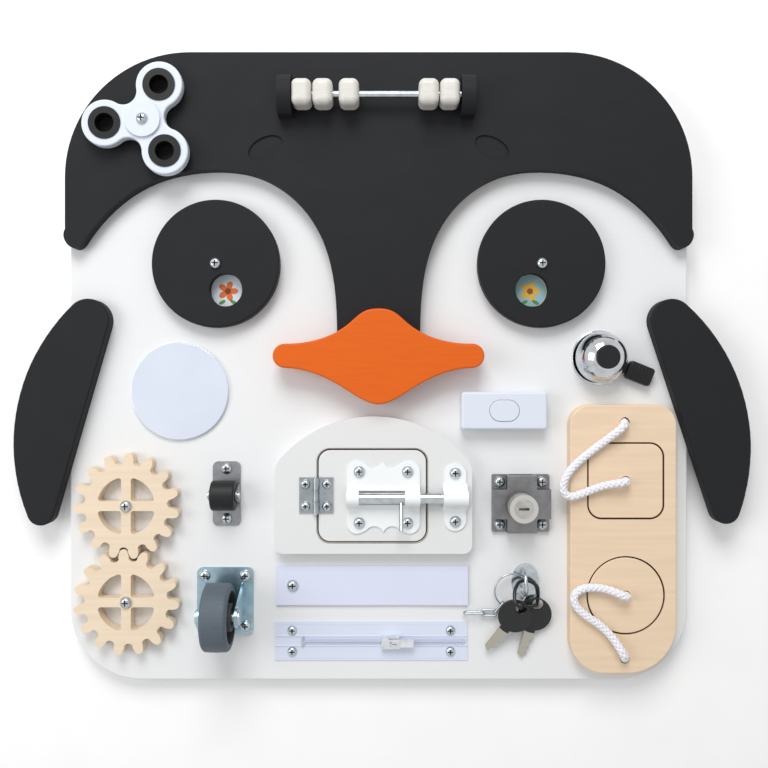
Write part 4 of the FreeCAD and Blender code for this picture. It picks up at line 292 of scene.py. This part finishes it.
def woven_cloth(name, colour, thread):
    """Plain weave: crossing threads, drawn a little coarser than real so that they show."""
    material, tree, shader, place = finish(name, colour, 0.85, Sheen_Weight=0.3, Sheen_Roughness=0.5)
    scale = math.tau / (2 * thread * MM)
    split = add(tree, "SeparateXYZ", i0=place)
    waves = []
    for axis in (0, 1):
        turned = add(tree, "Math", operation="MULTIPLY", i0=split.outputs[axis], i1=scale)
        waves.append(add(tree, "Math", operation="SINE", i0=turned.outputs[0]).outputs[0])
    weave = add(tree, "Math", operation="MULTIPLY", i0=waves[0], i1=waves[1]).outputs[0]
    tint(tree, shader, weave, shade(colour, 0.93), shade(colour, 1.05), -0.8, 0.8)
    emboss(tree, shader, weave, 0.12, 0.5)
    return material


def paint(node, material):
    """Gives a CAD node its finish."""
    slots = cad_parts[node].data.materials
    slots.clear()
    slots.append(material)


def paint_all(material, *nodes):
    """Gives several CAD nodes the same finish."""
    for node in nodes:
        paint(node, material)


# Pieces

def piece(name, bm, material, body, smooth=True):
    """A finished mesh that rides on a body."""
    bmesh.ops.recalc_face_normals(bm, faces=bm.faces[:])
    mesh = bpy.data.meshes.new(name)
    bm.to_mesh(mesh)
    bm.free()
    for entry in material if isinstance(material, list) else [material]:
        mesh.materials.append(entry)
    if smooth:
        mesh.shade_smooth()
        mesh.set_sharp_from_angle(angle=math.radians(35))
    thing = bpy.data.objects.new(name, mesh)
    bpy.context.scene.collection.objects.link(thing)
    if body:
        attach(thing, body)
    return thing


def disc(bm, x, y, z, radius, depth, index=0, segments=32, stretch=1.0, turn=0.0):
    """A thin round or oval patch with closed sides."""
    place = (Matrix.Translation((x, y, z + depth / 2)) @ Matrix.Rotation(turn, 4, "Z")
             @ Matrix.Diagonal((stretch, 1.0, 1.0, 1.0)))
    made = bmesh.ops.create_cone(bm, cap_ends=True, segments=segments, radius1=radius, radius2=radius,
                                 depth=depth, matrix=place)
    for face in {face for vert in made["verts"] for face in vert.link_faces}:
        face.material_index = index


def rounded_block(bm, low, high, edge, matrix=Matrix()):
    """A box between two corners with its edges bevelled."""
    low, high = Vector(low), Vector(high)
    place = matrix @ Matrix.Translation((low + high) / 2) @ Matrix.Diagonal((*(high - low), 1.0))
    made = bmesh.ops.create_cube(bm, size=1.0, matrix=place)
    edges = list({edge for vert in made["verts"] for edge in vert.link_edges})
    bmesh.ops.bevel(bm, geom=edges, offset=edge, offset_type="OFFSET", affect="EDGES", segments=2,
                    profile=0.5, material=-1)


def wire_curve(name, radius, resolution):
    """An empty curve whose splines become round wires."""
    curve = bpy.data.curves.new(name, "CURVE")
    curve.dimensions = "3D"
    curve.bevel_depth = radius
    curve.bevel_resolution = resolution
    curve.use_fill_caps = True
    return curve


def as_mesh(curve):
    """The curve's mesh; the curve itself is taken away."""
    thing = bpy.data.objects.new(curve.name, curve)
    mesh = bpy.data.meshes.new_from_object(thing)
    bpy.data.objects.remove(thing)
    bpy.data.curves.remove(curve)
    return mesh


def add_spline(curve, kind, points):
    """A spline of the curve through the points."""
    spline = curve.splines.new(kind)
    spline.points.add(len(points) - 1)
    for point, place in zip(spline.points, points):
        point.co = (*place, 1.0)
    return spline


def wire_piece(name, curve, material):
    """A finished piece from a curve of round wires."""
    mesh = as_mesh(curve)
    mesh.name = name
    mesh.materials.clear()
    mesh.materials.append(material)
    mesh.shade_smooth()
    thing = bpy.data.objects.new(name, mesh)
    bpy.context.scene.collection.objects.link(thing)
    return thing


def middle_of(node):
    """The middle of a CAD node's box."""
    low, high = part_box(node)
    return (Vector(low) + Vector(high)) / 2


def islands(node):
    """The low and high corner of each separate solid in a CAD node."""
    bm = bmesh.new()
    bm.from_mesh(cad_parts[node].data)
    bmesh.ops.remove_doubles(bm, verts=bm.verts[:], dist=1e-6)
    left = set(bm.verts)
    boxes = []
    while left:
        found = {next(iter(left))}
        waiting = list(found)
        while waiting:
            for edge in waiting.pop().link_edges:
                for vert in edge.verts:
                    if vert not in found:
                        found.add(vert)
                        waiting.append(vert)
        left -= found
        spots = [vert.co for vert in found]
        boxes.append((Vector(min(co[i] for co in spots) for i in range(3)),
                      Vector(max(co[i] for co in spots) for i in range(3))))
    bm.free()
    return boxes


def props():
    """The scene's two property groups: colours and sizes."""
    scene = bpy.context.scene
    return scene.busy_board_colours, scene.busy_board_sizes


class FinishPanels(bpy.types.Operator):
    """Paints the board, hood, flippers, beak, eye discs, door and bead posts"""
    bl_idname = "busyboard.finish_panels"
    bl_label = "Painted panels"

    def execute(self, context):
        colours, _ = props()
        paint("base_board", painted_plywood("White painted plywood", colours.board, 0.008))
        paint_all(painted_plywood("Black stained plywood", colours.black, 0.05, 0.6),
                  "hood", "flippers", "eye_disc_left", "eye_disc_right", "abacus_posts")
        paint("beak", painted_plywood("Orange painted plywood", colours.beak, 0.03))
        paint_all(painted_plywood("Warm white painted plywood", colours.panel, 0.008), "door_frame",
                  "door_leaf")
        return {"FINISHED"}


def raised_lining(name, bm, rim, height, material, body, thickness):
    """A standing wall over a rim; height and thickness are in millimetres."""
    raised = bmesh.ops.extrude_edge_only(bm, edges=rim)
    top = [item for item in raised["geom"] if isinstance(item, bmesh.types.BMVert)]
    bmesh.ops.translate(bm, verts=top, vec=(0, 0, height * MM))
    lining = piece(name, bm, material, body)
    wall = lining.modifiers.new("Wall", "SOLIDIFY")
    wall.thickness = thickness * MM
    wall.offset = 0.0


def groove_wall(name, middle, half, corner, material, body, thickness=0.15):
    """A thin lining on the wall of a cut-out, from just above the board to just below the top."""
    bm = bmesh.new()
    place = Matrix.Translation((*middle, FACE + LINING_LIFT)) @ Matrix.Diagonal((*half, 1.0, 1.0))
    made = bmesh.ops.create_grid(bm, x_segments=1, y_segments=1, size=1.0, matrix=place)
    bmesh.ops.bevel(bm, geom=made["verts"], offset=corner, offset_type="OFFSET", affect="VERTICES",
                    segments=14, profile=0.5, material=-1)
    rim = [edge for edge in bm.edges if len(edge.link_faces) == 1]
    bmesh.ops.delete(bm, geom=bm.faces[:], context="FACES_ONLY")
    raised_lining(name, bm, rim, 9.5, material, body, thickness)


class FinishBirch(bpy.types.Operator):
    """Bare birch: gears, rope panel and its loose pieces, with burnt cut edges"""
    bl_idname = "busyboard.finish_birch"
    bl_label = "Bare birch"

    def execute(self, context):
        colours, _ = props()
        paint_all(bare_birch("Sanded birch", colours.birch), "rope_panel", "square_piece", "circle_piece")
        paint_all(bare_birch("Pale birch", colours.gear), "gear_top", "gear_bottom")
        # Clear lacquer on pale wood: close to white, a soft shine and a grain that hardly shows
        material, tree, shader, place = finish("Lacquered bead wood", linear("#d9d6d0"), 0.35)
        grain = stretched(tree, place, 9.0, 1.1)
        tint(tree, shader, grain, linear("#d3d0c9"), linear("#dddad5"))
        paint_all(material, *["bead_%d" % index for index in range(1, 6)])
        self.line_pieces(colours)
        self.line_door(colours)
        return {"FINISHED"}

    def line_pieces(self, colours):
        """Burnt edges round the square and the round piece and in their holes."""
        # Charred by the laser: matt, nearly black brown that gives each piece its dark outline
        burnt, tree, shader, place = finish("Laser-burnt birch edge", colours.burn, 0.8)
        tint(tree, shader, stretched(tree, place, 1.2, 0.6), shade(colours.burn, 0.6),
             shade(colours.burn, 1.5))
        # Round each piece there are two linings: one 0.9 mm out, on the wall of its hole, and one
        # 0.1 mm out, on the piece itself
        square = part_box("square_piece")
        middle = middle_of("square_piece")
        half = (square[1][0] - square[0][0]) / 2 + 0.9 * MM
        groove_wall("square_burnt_edge", middle[:2], (half, half), 9.9 * MM, burnt, "board")
        inner = half - 0.8 * MM
        groove_wall("square_piece_burnt_edge", middle[:2], (inner, inner), 9.1 * MM, burnt, "square")
        centre = middle_of("circle_piece")
        place = Matrix.Translation((centre.x, centre.y, FACE + LINING_LIFT))
        for name, body, radius in (("circle_burnt_edge", "board", 26.9),
                                   ("circle_piece_burnt_edge", "round", 26.1)):
            bm = bmesh.new()
            bmesh.ops.create_circle(bm, segments=96, radius=radius * MM, matrix=place)
            raised_lining(name, bm, bm.edges[:], 8.8, burnt, body, 0.15)

    def line_door(self, colours):
        """The wall of the gap round the door, lined in grey as painted shade."""
        # Painted shade: a matt grey lining on the wall of the narrow gap stands in for the shade in the
        # gap and draws a grey line round the door
        painted_gap_shade, tree, shader, place = finish("Painted gap shade in the groove", colours.groove, 0.8)
        tint(tree, shader, stretched(tree, place, 4.0, 2.0), shade(colours.groove, 0.9),
             shade(colours.groove, 1.1))
        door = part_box("door_leaf")
        half = [(door[1][axis] - door[0][axis]) / 2 + 1.27 * MM for axis in (0, 1)]
        groove_wall("door_groove_wall", middle_of("door_leaf")[:2], half, 9.5 * MM, painted_gap_shade, "board",
                    0.6)


def switch_coil(material):
    """The return spring under the button: one wire wound between the node's two ends."""
    low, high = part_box("switch_spring")
    middle = middle_of("switch_spring")
    wire = 0.4 * MM
    reach = (high[0] - low[0]) / 2 - wire
    height = high[2] - low[2] - 2 * wire
    turns, steps = 5, 24
    curve = wire_curve("switch_coil_line", wire, 2)
    points = []
    for index in range(turns * steps + 1):
        angle = math.tau * index / steps
        rise = low[2] + wire + height * index / (turns * steps)
        points.append((middle.x + reach * math.cos(angle), middle.y + reach * math.sin(angle), rise))
    add_spline(curve, "POLY", points)
    coil = wire_piece("switch_coil", curve, material)
    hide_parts("switch_spring")
    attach(coil, "board")
    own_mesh(coil)


class FinishHardware(bpy.types.Operator):
    """Plated steel, enamel, chrome and die-cast metal of the fittings"""
    bl_idname = "busyboard.finish_hardware"
    bl_label = "Metal fittings"

    def execute(self, context):
        colours, _ = props()
        paint_all(plated_steel("Zinc-plated screw steel", colours.steel, 0.28),
                  "board_screws", "rear_screws", "door_screws", "axles", "abacus_rod")
        paint("bolt_rod", plated_steel("Bright bolt steel", colours.steel, 0.18))
        switch_coil(plated_steel("Spring steel wire", shade(colours.steel, 0.85), 0.3))
        paint_all(plated_steel("Dull hinge steel", shade(colours.steel, 0.7), 0.34),
                  "hinge_leaf_fixed", "hinge_leaf_moving")
        paint("caster_bracket", plated_steel("Blue zinc", colours.zinc, 0.30))
        paint("roller_bracket", plated_steel("Nickel-grey plating", colours.bracket, 0.45))
        paint("key_eye_plate", plated_steel("Bright nickel", shade(colours.steel, 1.05), 0.2))
        # Thick white enamel: glossy, with the fine orange peel of powder paint
        enamel, tree, shader, place = finish("White powder coat", colours.enamel, 0.32, Coat_Weight=0.3)
        emboss(tree, shader, stretched(tree, place, 1.4, 1.4), 0.03, 0.25)
        paint_all(enamel, "bolt_plate", "bolt_keeper")
        # Satin grey casting whose barrel is turned bright, so the lock's middle stands out
        cast, tree, shader, place = finish("Die-cast zinc with a turned barrel", colours.cast, 0.42, 1.0)
        height = add(tree, "SeparateXYZ", i0=place).outputs[2]
        barrel = add(tree, "MapRange", Value=height, From_Min=BARREL_FOOT,
                     From_Max=BARREL_FOOT + 1.5 * MM)
        clouds = tint(tree, shader, stretched(tree, place, 6.0, 5.0), shade(colours.cast, 0.86),
                      shade(colours.cast, 1.08))
        masked(tree, shader, barrel.outputs[0], clouds, linear("#cfcec8"))
        paint_all(cast, "lock_body", "lock_tongue")
        paint("lock_plug", plated_steel("Nickel plug", linear("#c4c3bd"), 0.3))
        paint_all(plated_steel("Polished chrome", colours.chrome, 0.07), "bell_dome", "bell_base")
        paint_all(plated_steel("Nickel-plated slider", linear("#e9ecf0"), 0.22),
                  "zipper_slider", "zipper_pull")
        self.paint_keys(colours)
        self.paint_drive_shadows()
        return {"FINISHED"}

    def paint_keys(self, colours):
        """The two keys, and the loop, ring and chain that carry them."""
        # Glossy black bows and pale nickel blades, told apart by the distance from the bow's middle
        for node, head in KEY_HEADS.items():
            own, tree, shader, place = finish("Key with moulded bow " + node[-1], colours.ink, 0.4)
            flat = add(tree, "Mapping", Vector=place, Scale=(1.0, 1.0, 0.0))
            reach = add(tree, "VectorMath", operation="DISTANCE", i0=flat.outputs[0], i1=(*head, 0.0))
            steel = add(tree, "MapRange", Value=reach.outputs["Value"], From_Min=KEY_BOW,
                        From_Max=KEY_BOW + 0.2 * MM)
            masked(tree, shader, steel.outputs[0], colours.ink[:], linear("#b9b5a8"))
            tree.links.new(steel.outputs[0], shader.inputs["Metallic"])
            paint(node, own)
        # Smooth black rubber loop; the ring and the chain on it shine like new wire
        cord, tree, shader, place = finish("Black key loop with a bright ring and chain", colours.ink, 0.3)
        away = add(tree, "VectorMath", operation="SUBTRACT", i0=place, i1=RING_MIDDLE)
        reach = add(tree, "VectorMath", operation="LENGTH", i0=away.outputs[0]).outputs["Value"]
        lift = add(tree, "VectorMath", operation="DOT_PRODUCT", i0=away.outputs[0], i1=RING_NORMAL)
        near = add(tree, "Math", operation="COMPARE", i0=reach, i1=RING_RADIUS, i2=RING_REACH)
        flat = add(tree, "Math", operation="COMPARE", i0=lift.outputs["Value"], i1=0.0, i2=RING_REACH)
        ring = add(tree, "Math", operation="MULTIPLY", i0=near.outputs[0], i1=flat.outputs[0])
        side = add(tree, "SeparateXYZ", i0=place).outputs[0]
        chain = add(tree, "Math", operation="LESS_THAN", i0=side, i1=CHAIN_END)
        bright = add(tree, "Math", operation="MAXIMUM", i0=ring.outputs[0], i1=chain.outputs[0])
        masked(tree, shader, bright.outputs[0], colours.ink[:], shade(colours.steel, 0.9))
        tree.links.new(bright.outputs[0], shader.inputs["Metallic"])
        paint("key_rings", cord)

    def paint_drive_shadows(self):
        """A dark cross, 4.2 by 0.8 mm, painted as shadow at the bottom of each front screw's drive."""
        # Painted shadow: the crosses are dark steel-grey instead of the screws' bright steel, so that the
        # drives read as deep and dark
        recess, tree, shader, place = finish("Painted shadow in cross recess", linear("#2c3134"), 0.6, 0.5)
        tint(tree, shader, stretched(tree, place, 0.8, 0.8), linear("#22272a"), linear("#3a4145"))
        for node, body in (("board_screws", "board"), ("door_screws", "door")):
            bm = bmesh.new()
            for low, high in islands(node):
                x, y, floor = (low.x + high.x) / 2, (low.y + high.y) / 2, high.z - 1.15 * MM
                for long, short in ((2.1 * MM, 0.4 * MM), (0.4 * MM, 2.1 * MM)):
                    rounded_block(bm, (x - long, y - short, floor),
                                  (x + long, y + short, floor + 0.1 * MM), 0.03 * MM)
            piece(node + "_recesses", bm, recess, body)


class FinishPlastics(bpy.types.Operator):
    """Moulded plastic, rubber and acrylic: spinner, switch, washers, bell lever, wheels and mirror"""
    bl_idname = "busyboard.finish_plastics"
    bl_label = "Plastics and rubber"

    def execute(self, context):
        colours, _ = props()
        white = moulded_plastic("White moulded plastic", colours.plastic, 0.28)
        paint_all(white, "spinner_body", "spinner_hub", "switch_housing", "switch_button")
        paint("pivot_washers", moulded_plastic("Natural nylon", linear("#e4e3dc"), 0.5))
        black = moulded_plastic("Black moulded plastic", colours.ink, 0.35)
        paint_all(black, "spinner_weights", "bell_lever", "bell_cap")
        paint("roller", moulded_plastic("Black rubber", shade(colours.ink, 0.9), 0.5, 0.8))
        # Dull blue-grey rubber with faint rubbed streaks, and a darker hub inside it
        wheel, tree, shader, place = finish("Grey rubber tread on a dark hub", colours.tread, 0.6)
        middle = middle_of("caster_wheel")
        flat = add(tree, "Mapping", Vector=place, Scale=(0.0, 1.0, 1.0))
        reach = add(tree, "VectorMath", operation="DISTANCE", i0=flat.outputs[0],
                    i1=(0.0, middle.y, middle.z))
        rim = add(tree, "MapRange", Value=reach.outputs["Value"], From_Min=HUB, From_Max=HUB + 0.6 * MM)
        worn = stretched(tree, place, 8.0, 1.5)
        rubber = tint(tree, shader, worn, shade(colours.tread, 0.94), shade(colours.tread, 1.06))
        masked(tree, shader, rim.outputs[0], linear("#3c4146"), rubber)
        paint("caster_wheel", wheel)
        # Painted reflection: the mirror is mostly diffuse, and its cool, nearly white colour stands in for
        # the pale room it reflects; the coat gives it a sharp glint
        mirror, tree, shader, place = finish("Silvered acrylic", colours.acrylic, 0.08, 0.25,
                                             Coat_Weight=0.6)
        tint(tree, shader, stretched(tree, place, 40.0, 30.0), shade(colours.acrylic, 0.98),
             shade(colours.acrylic, 1.02))
        paint("mirror", mirror)
        self.ribs(black)
        return {"FINISHED"}

    def ribs(self, material):
        """Grip ribs across the bell lever's thumb pad, the first 22.2 mm from the bell's middle."""
        turn = Matrix.Translation(BELL) @ Matrix.Rotation(math.radians(LEVER_TURN), 4, "Z")
        bm = bmesh.new()
        for index in range(7):
            x = (22.2 + index * 2.4) * MM
            rounded_block(bm, (x - 0.6 * MM, -5.6 * MM, FACE + 6.6 * MM),
                          (x + 0.6 * MM, 5.6 * MM, FACE + 7.8 * MM), 0.3 * MM, turn)
        piece("bell_lever_ribs", bm, material, "lever")


class PrintWindows(bpy.types.Operator):
    """Paper under the eye discs with small flowers where the windows pass"""
    bl_idname = "busyboard.print_windows"
    bl_label = "Window prints"

    def execute(self, context):
        # Uncoated paper: matt and a little warm, so the windows don't shine
        paper, tree, shader, place = finish("Printed paper", linear("#f1efe8"), 0.7)
        tint(tree, shader, stretched(tree, place, 0.9, 0.9), linear("#ebe9e0"), linear("#f6f4ee"))
        paint("eye_prints", paper)
        for side, (eye_x, start, inks) in PRINTS.items():
            printed = [self.ink("Ink %s %d" % (side, index), linear(text))
                       for index, text in enumerate(inks)]
            bm = bmesh.new()
            for spot in range(4):
                turn = math.radians(start + 90 * spot)
                x = eye_x + WINDOW_OUT * math.cos(turn)
                y = EYE_HEIGHT + WINDOW_OUT * math.sin(turn)
                self.flower(bm, x, y, 5 + spot % 2, spot)
            piece("window_flowers_" + side, bm, printed, "board", False)
        return {"FINISHED"}

    def ink(self, name, colour):
        """Printing ink: flat and matt, as dull as the paper under it, with a faint mottle."""
        material, tree, shader, place = finish(name, colour, 0.6)
        tint(tree, shader, stretched(tree, place, 0.6, 0.6), shade(colour, 0.93), shade(colour, 1.07))
        return material

    def flower(self, bm, x, y, petals, turn):
        """A round ground with a flower and two leaves on it, in layers of ink."""
        over = PRINT_TOP + 1.5 * INK
        out = 4.0 * MM
        disc(bm, x, y, PRINT_TOP, 11.2 * MM, INK, 0)
        for petal in range(petals):
            angle = math.tau * petal / petals + turn
            disc(bm, x + out * math.cos(angle), y + out * math.sin(angle), over, 2.1 * MM, INK, 1, 20,
                 1.5, angle)
        disc(bm, x, y, PRINT_TOP + 3 * INK, 2.1 * MM, INK, 2, 20)
        for leaf in (-1, 1):
            disc(bm, x + leaf * out, y - 7.8 * MM, over, 1.2 * MM, INK, 3, 16, 2.2, -leaf * 0.5)


def smooth_line(name, points):
    """The points along a smooth curve that has the route's points as its control points."""
    curve = bpy.data.curves.new(name, "CURVE")
    curve.dimensions = "3D"
    spline = add_spline(curve, "NURBS", points)
    spline.order_u = 3
    spline.use_endpoint_u = True
    spline.resolution_u = 24
    mesh = as_mesh(curve)
    line = [vert.co.copy() for vert in mesh.vertices]
    bpy.data.meshes.remove(mesh)
    return line


def braided_rope(name, route, material, node):
    """Two sets of strands that cross over and under each other round the rope's middle line."""
    _, sizes = props()
    core = smooth_line(name + "_line", route)
    radius = sizes.rope_diameter / 2
    strand = radius * STRAND_SHARE
    curve = wire_curve(name + "_strands", strand, 1)
    side = Vector((0, 0, 1))
    strands = [[] for _ in range(STRANDS)]
    run = 0.0
    for index, spot in enumerate(core):
        ahead = core[min(index + 1, len(core) - 1)] - core[max(index - 1, 0)]
        ahead.normalize()
        side = side - ahead * side.dot(ahead)
        if side.length < 1e-4:
            side = ahead.orthogonal()
        side.normalize()
        across = ahead.cross(side)
        if index:
            run += (spot - core[index - 1]).length
        turned = math.tau * run / sizes.rope_pitch
        for number in range(STRANDS):
            way = 1 if number % 2 else -1
            angle = way * (turned + math.tau * (number // 2) / (STRANDS / 2))
            wave = WAVE_SHARE * radius * way * math.cos(STRANDS / 2 * turned)
            out = (1 - WAVE_SHARE) * radius - strand + wave
            strands[number].append(spot + (side * math.cos(angle) + across * math.sin(angle)) * out)
    for points in strands:
        add_spline(curve, "POLY", points)
    rope = wire_piece(name, curve, material)
    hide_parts(node)
    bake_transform(rope)


class BraidRopes(bpy.types.Operator):
    """The two white ropes between the panel and its loose pieces"""
    bl_idname = "busyboard.braid_ropes"
    bl_label = "Ropes"

    def execute(self, context):
        colours, _ = props()
        # Soft white cotton: fully matt with a fuzzy edge, and fine fibres along the strands
        material, tree, shader, place = finish("Braided cotton", colours.rope, 0.85, Sheen_Weight=0.3)
        fibre = stretched(tree, place, 1.2, 0.3)
        tint(tree, shader, fibre, shade(colours.rope, 0.95), shade(colours.rope, 1.03))
        emboss(tree, shader, fibre, 0.08, 0.4)
        braided_rope("rope_upper_braid", ROPE_UPPER, material, "rope_upper")
        braided_rope("rope_lower_braid", ROPE_LOWER, material, "rope_lower")
        return {"FINISHED"}


def cloth(name, low, high, thickness, material, body, wave=0.0):
    """A cut strip of cloth between two corners, with a slight wave; low[2] is its underside."""
    bm = bmesh.new()
    size = Vector(high) - Vector(low)
    middle = (Vector(high) + Vector(low)) / 2
    place = Matrix.Translation((middle.x, middle.y, low[2]))
    place @= Matrix.Diagonal((size.x / 2, size.y / 2, 1.0, 1.0))
    made = bmesh.ops.create_grid(bm, x_segments=max(2, int(size.x / CLOTH_CELL)), y_segments=8,
                                 size=1.0, matrix=place)
    # The wave starts flat at the left end and grows to its full height at the right one
    for vert in made["verts"]:
        share = (vert.co.x - low[0]) / size.x
        vert.co.z += wave * share * (0.5 + 0.5 * math.sin(share * 9.0 + vert.co.y * 120.0))
    bmesh.ops.solidify(bm, geom=bm.faces[:], thickness=-thickness)
    return piece(name, bm, material, body)


def stitches(name, rows, z, material, body):
    """Rows of short thread stitches along X: each row is its Y, its start and its end."""
    _, sizes = props()
    bm = bmesh.new()
    step = sizes.stitch * 1.35  # a stitch and the gap after it
    for y, start, end in rows:
        for index in range(int((end - start) / step)):
            x = start + index * step
            rounded_block(bm, (x, y - 0.18 * MM, z - 0.05 * MM),
                          (x + sizes.stitch, y + 0.18 * MM, z + 0.22 * MM), 0.1 * MM)
    return piece(name, bm, material, body)


class SewStrap(bpy.types.Operator):
    """Hook-and-loop strap: the strip that stays down and the flap that peels"""
    bl_idname = "busyboard.sew_strap"
    bl_label = "Strap"

    def execute(self, context):
        colours, _ = props()
        material = woven_cloth("Hook-and-loop fabric", colours.strap, 0.9)
        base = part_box("strap_base")
        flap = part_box("strap_flap")
        strip = cloth("strap_strip", (*base[0][:2], FACE), (*base[1][:2], FACE), 0.8 * MM, material,
                      "board")
        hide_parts("strap_base")
        loose = cloth("strap_flap_cloth", (base[0][0], flap[0][1], flap[0][2]),
                      (flap[1][0], flap[1][1], flap[0][2]), 0.9 * MM, material, None,
                      0.4 * MM)
        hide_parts("strap_flap")
        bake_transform(loose)
        return {"FINISHED"}


class SewZipper(bpy.types.Operator):
    """Zipper: two tapes, the coil's teeth and the seams along the tapes"""
    bl_idname = "busyboard.sew_zipper"
    bl_label = "Zipper"

    def execute(self, context):
        colours, sizes = props()
        material = woven_cloth("Zipper tape", colours.tape, 0.7)
        low, high = (Vector(corner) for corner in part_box("zipper_tapes"))
        middle = (low.y + high.y) / 2
        tape = cloth("zipper_tape", (low.x, low.y, FACE), (high.x, high.y, FACE), 0.7 * MM, material,
                     "board")
        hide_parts("zipper_tapes")
        teeth = bmesh.new()
        for index in range(int((high.x - 0.5 * MM - TEETH_START) / sizes.tooth_step)):
            for way, start, end in TEETH:
                x = TEETH_START + (index + way / 4) * sizes.tooth_step
                rounded_block(teeth, (x - 0.3 * MM, middle + start * MM, FACE + 0.7 * MM),
                              (x + 0.3 * MM, middle + end * MM, FACE + 2.1 * MM), 0.2 * MM)
        coil = moulded_plastic("Nylon coil", shade(colours.tape, 0.98), 0.4)
        row = piece("zipper_teeth", teeth, coil, "board")
        welts = bmesh.new()
        for way in (-1, 1):
            y = middle + way * 3.4 * MM
            rounded_block(welts, (low.x + 0.3 * MM, y - 0.5 * MM, FACE + 0.4 * MM),
                          (high.x - 0.3 * MM, y + 0.5 * MM, FACE + 1.2 * MM), 0.3 * MM)
        welt = piece("zipper_welts", welts, material, "board")
        stop = bmesh.new()
        rounded_block(stop, (TEETH_START - 2.5 * MM, middle - 3.3 * MM, FACE + 0.7 * MM),
                      (TEETH_START - 0.6 * MM, middle + 3.3 * MM, FACE + 2.6 * MM), 0.4 * MM)
        piece("zipper_stop", stop, plated_steel("Zipper stop", colours.steel, 0.3), "board")
        thread = woven_cloth("White thread", shade(colours.tape, 0.94), 0.5)
        rows = [(middle + way * offset * MM, low.x + 2 * MM, high.x - 3 * MM)
                for way in (-1, 1) for offset in (3.6, 11.8)]
        seams = stitches("zipper_seams", rows, FACE + 0.7 * MM, thread, "board")
        return {"FINISHED"}


class SetStage(bpy.types.Operator):
    """Pale floor, soft light from the top of the figure and the camera above the board"""
    bl_idname = "busyboard.set_stage"
    bl_label = "Stage"

    def execute(self, context):
        scene = context.scene
        scene.view_settings.view_transform = "Standard"
        self.floor(scene)
        self.room(scene)
        for name, place, power, size in LAMPS:
            data = bpy.data.lights.new(name, "AREA")
            data.energy = power
            data.size = size
            lamp = bpy.data.objects.new(name, data)
            lamp.location = place
            lamp.rotation_euler = (-Vector(place)).to_track_quat("-Z", "Y").to_euler()
            scene.collection.objects.link(lamp)
        data = bpy.data.cameras.new("camera")
        data.sensor_width = 36.0
        data.lens = LENS
        camera = bpy.data.objects.new("camera", data)
        camera.location = CAMERA
        scene.collection.objects.link(camera)
        scene.camera = camera
        return {"FINISHED"}

    def floor(self, scene):
        """The paper that the board lies on, just under it."""
        bm = bmesh.new()
        bmesh.ops.create_grid(bm, x_segments=1, y_segments=1, size=6.0,
                              matrix=Matrix.Translation((0, 0, -0.3 * MM)))
        mesh = bpy.data.meshes.new("floor")
        bm.to_mesh(mesh)
        bm.free()
        # Plain white paper without any shine, so that only the board's own shadow shows on it
        material, tree, shader, place = finish("White paper floor", linear("#fefefe"), 1.0)
        tint(tree, shader, stretched(tree, place, 40.0, 40.0), linear("#fdfdfd"), linear("#ffffff"))
        mesh.materials.append(material)
        floor = bpy.data.objects.new("floor", mesh)
        scene.collection.objects.link(floor)

    def room(self, scene):
        """A room that is white to the camera, duller in reflections and about half as bright as light."""
        world = bpy.data.worlds.new("Pale room")
        scene.world = world
        world.use_nodes = True
        tree = world.node_tree
        tree.nodes.clear()
        seen = add(tree, "LightPath").outputs
        glossy = add(tree, "Math", operation="MULTIPLY", i0=seen["Is Glossy Ray"], i1=0.6)
        shown = add(tree, "Math", operation="MAXIMUM", i0=seen["Is Camera Ray"], i1=glossy.outputs[0])
        shown = add(tree, "Math", operation="MAXIMUM", i0=shown.outputs[0],
                    i1=seen["Is Transmission Ray"])
        level = add(tree, "MapRange", Value=shown.outputs[0], To_Min=0.52, To_Max=1.0)
        ground = add(tree, "Background", Color=(1, 1, 1, 1), Strength=level.outputs[0])
        add(tree, "OutputWorld", Surface=ground.outputs[0])


OPERATORS = (FinishPanels, FinishBirch, FinishHardware, FinishPlastics, PrintWindows, BraidRopes,
             SewStrap, SewZipper, SetStage)


class BusyBoardPanel(bpy.types.Panel):
    """Lists the board's colours, sizes and steps"""
    bl_idname = "VIEW3D_PT_busy_board"
    bl_label = "Busy board"
    bl_space_type = "VIEW_3D"
    bl_region_type = "UI"
    bl_category = "Busy board"

    def draw(self, context):
        for group in (context.scene.busy_board_colours, context.scene.busy_board_sizes):
            for name in type(group).__annotations__:
                self.layout.prop(group, name)
        for operator in OPERATORS:
            self.layout.operator(operator.bl_idname)


CLASSES = (BusyBoardColours, BusyBoardSizes) + OPERATORS + (BusyBoardPanel,)


def register():
    for item in CLASSES:
        bpy.utils.register_class(item)
    bpy.types.Scene.busy_board_colours = bpy.props.PointerProperty(type=BusyBoardColours)
    bpy.types.Scene.busy_board_sizes = bpy.props.PointerProperty(type=BusyBoardSizes)


def unregister():
    del bpy.types.Scene.busy_board_sizes
    del bpy.types.Scene.busy_board_colours
    for item in reversed(CLASSES):
        bpy.utils.unregister_class(item)


def main():
    """Runs every step once."""
    register()
    for step in (bpy.ops.busyboard.finish_panels, bpy.ops.busyboard.finish_birch,
                 bpy.ops.busyboard.finish_hardware, bpy.ops.busyboard.finish_plastics,
                 bpy.ops.busyboard.print_windows, bpy.ops.busyboard.braid_ropes,
                 bpy.ops.busyboard.sew_strap, bpy.ops.busyboard.sew_zipper, bpy.ops.busyboard.set_stage):
        step()


if __name__ == "__main__":
    main()
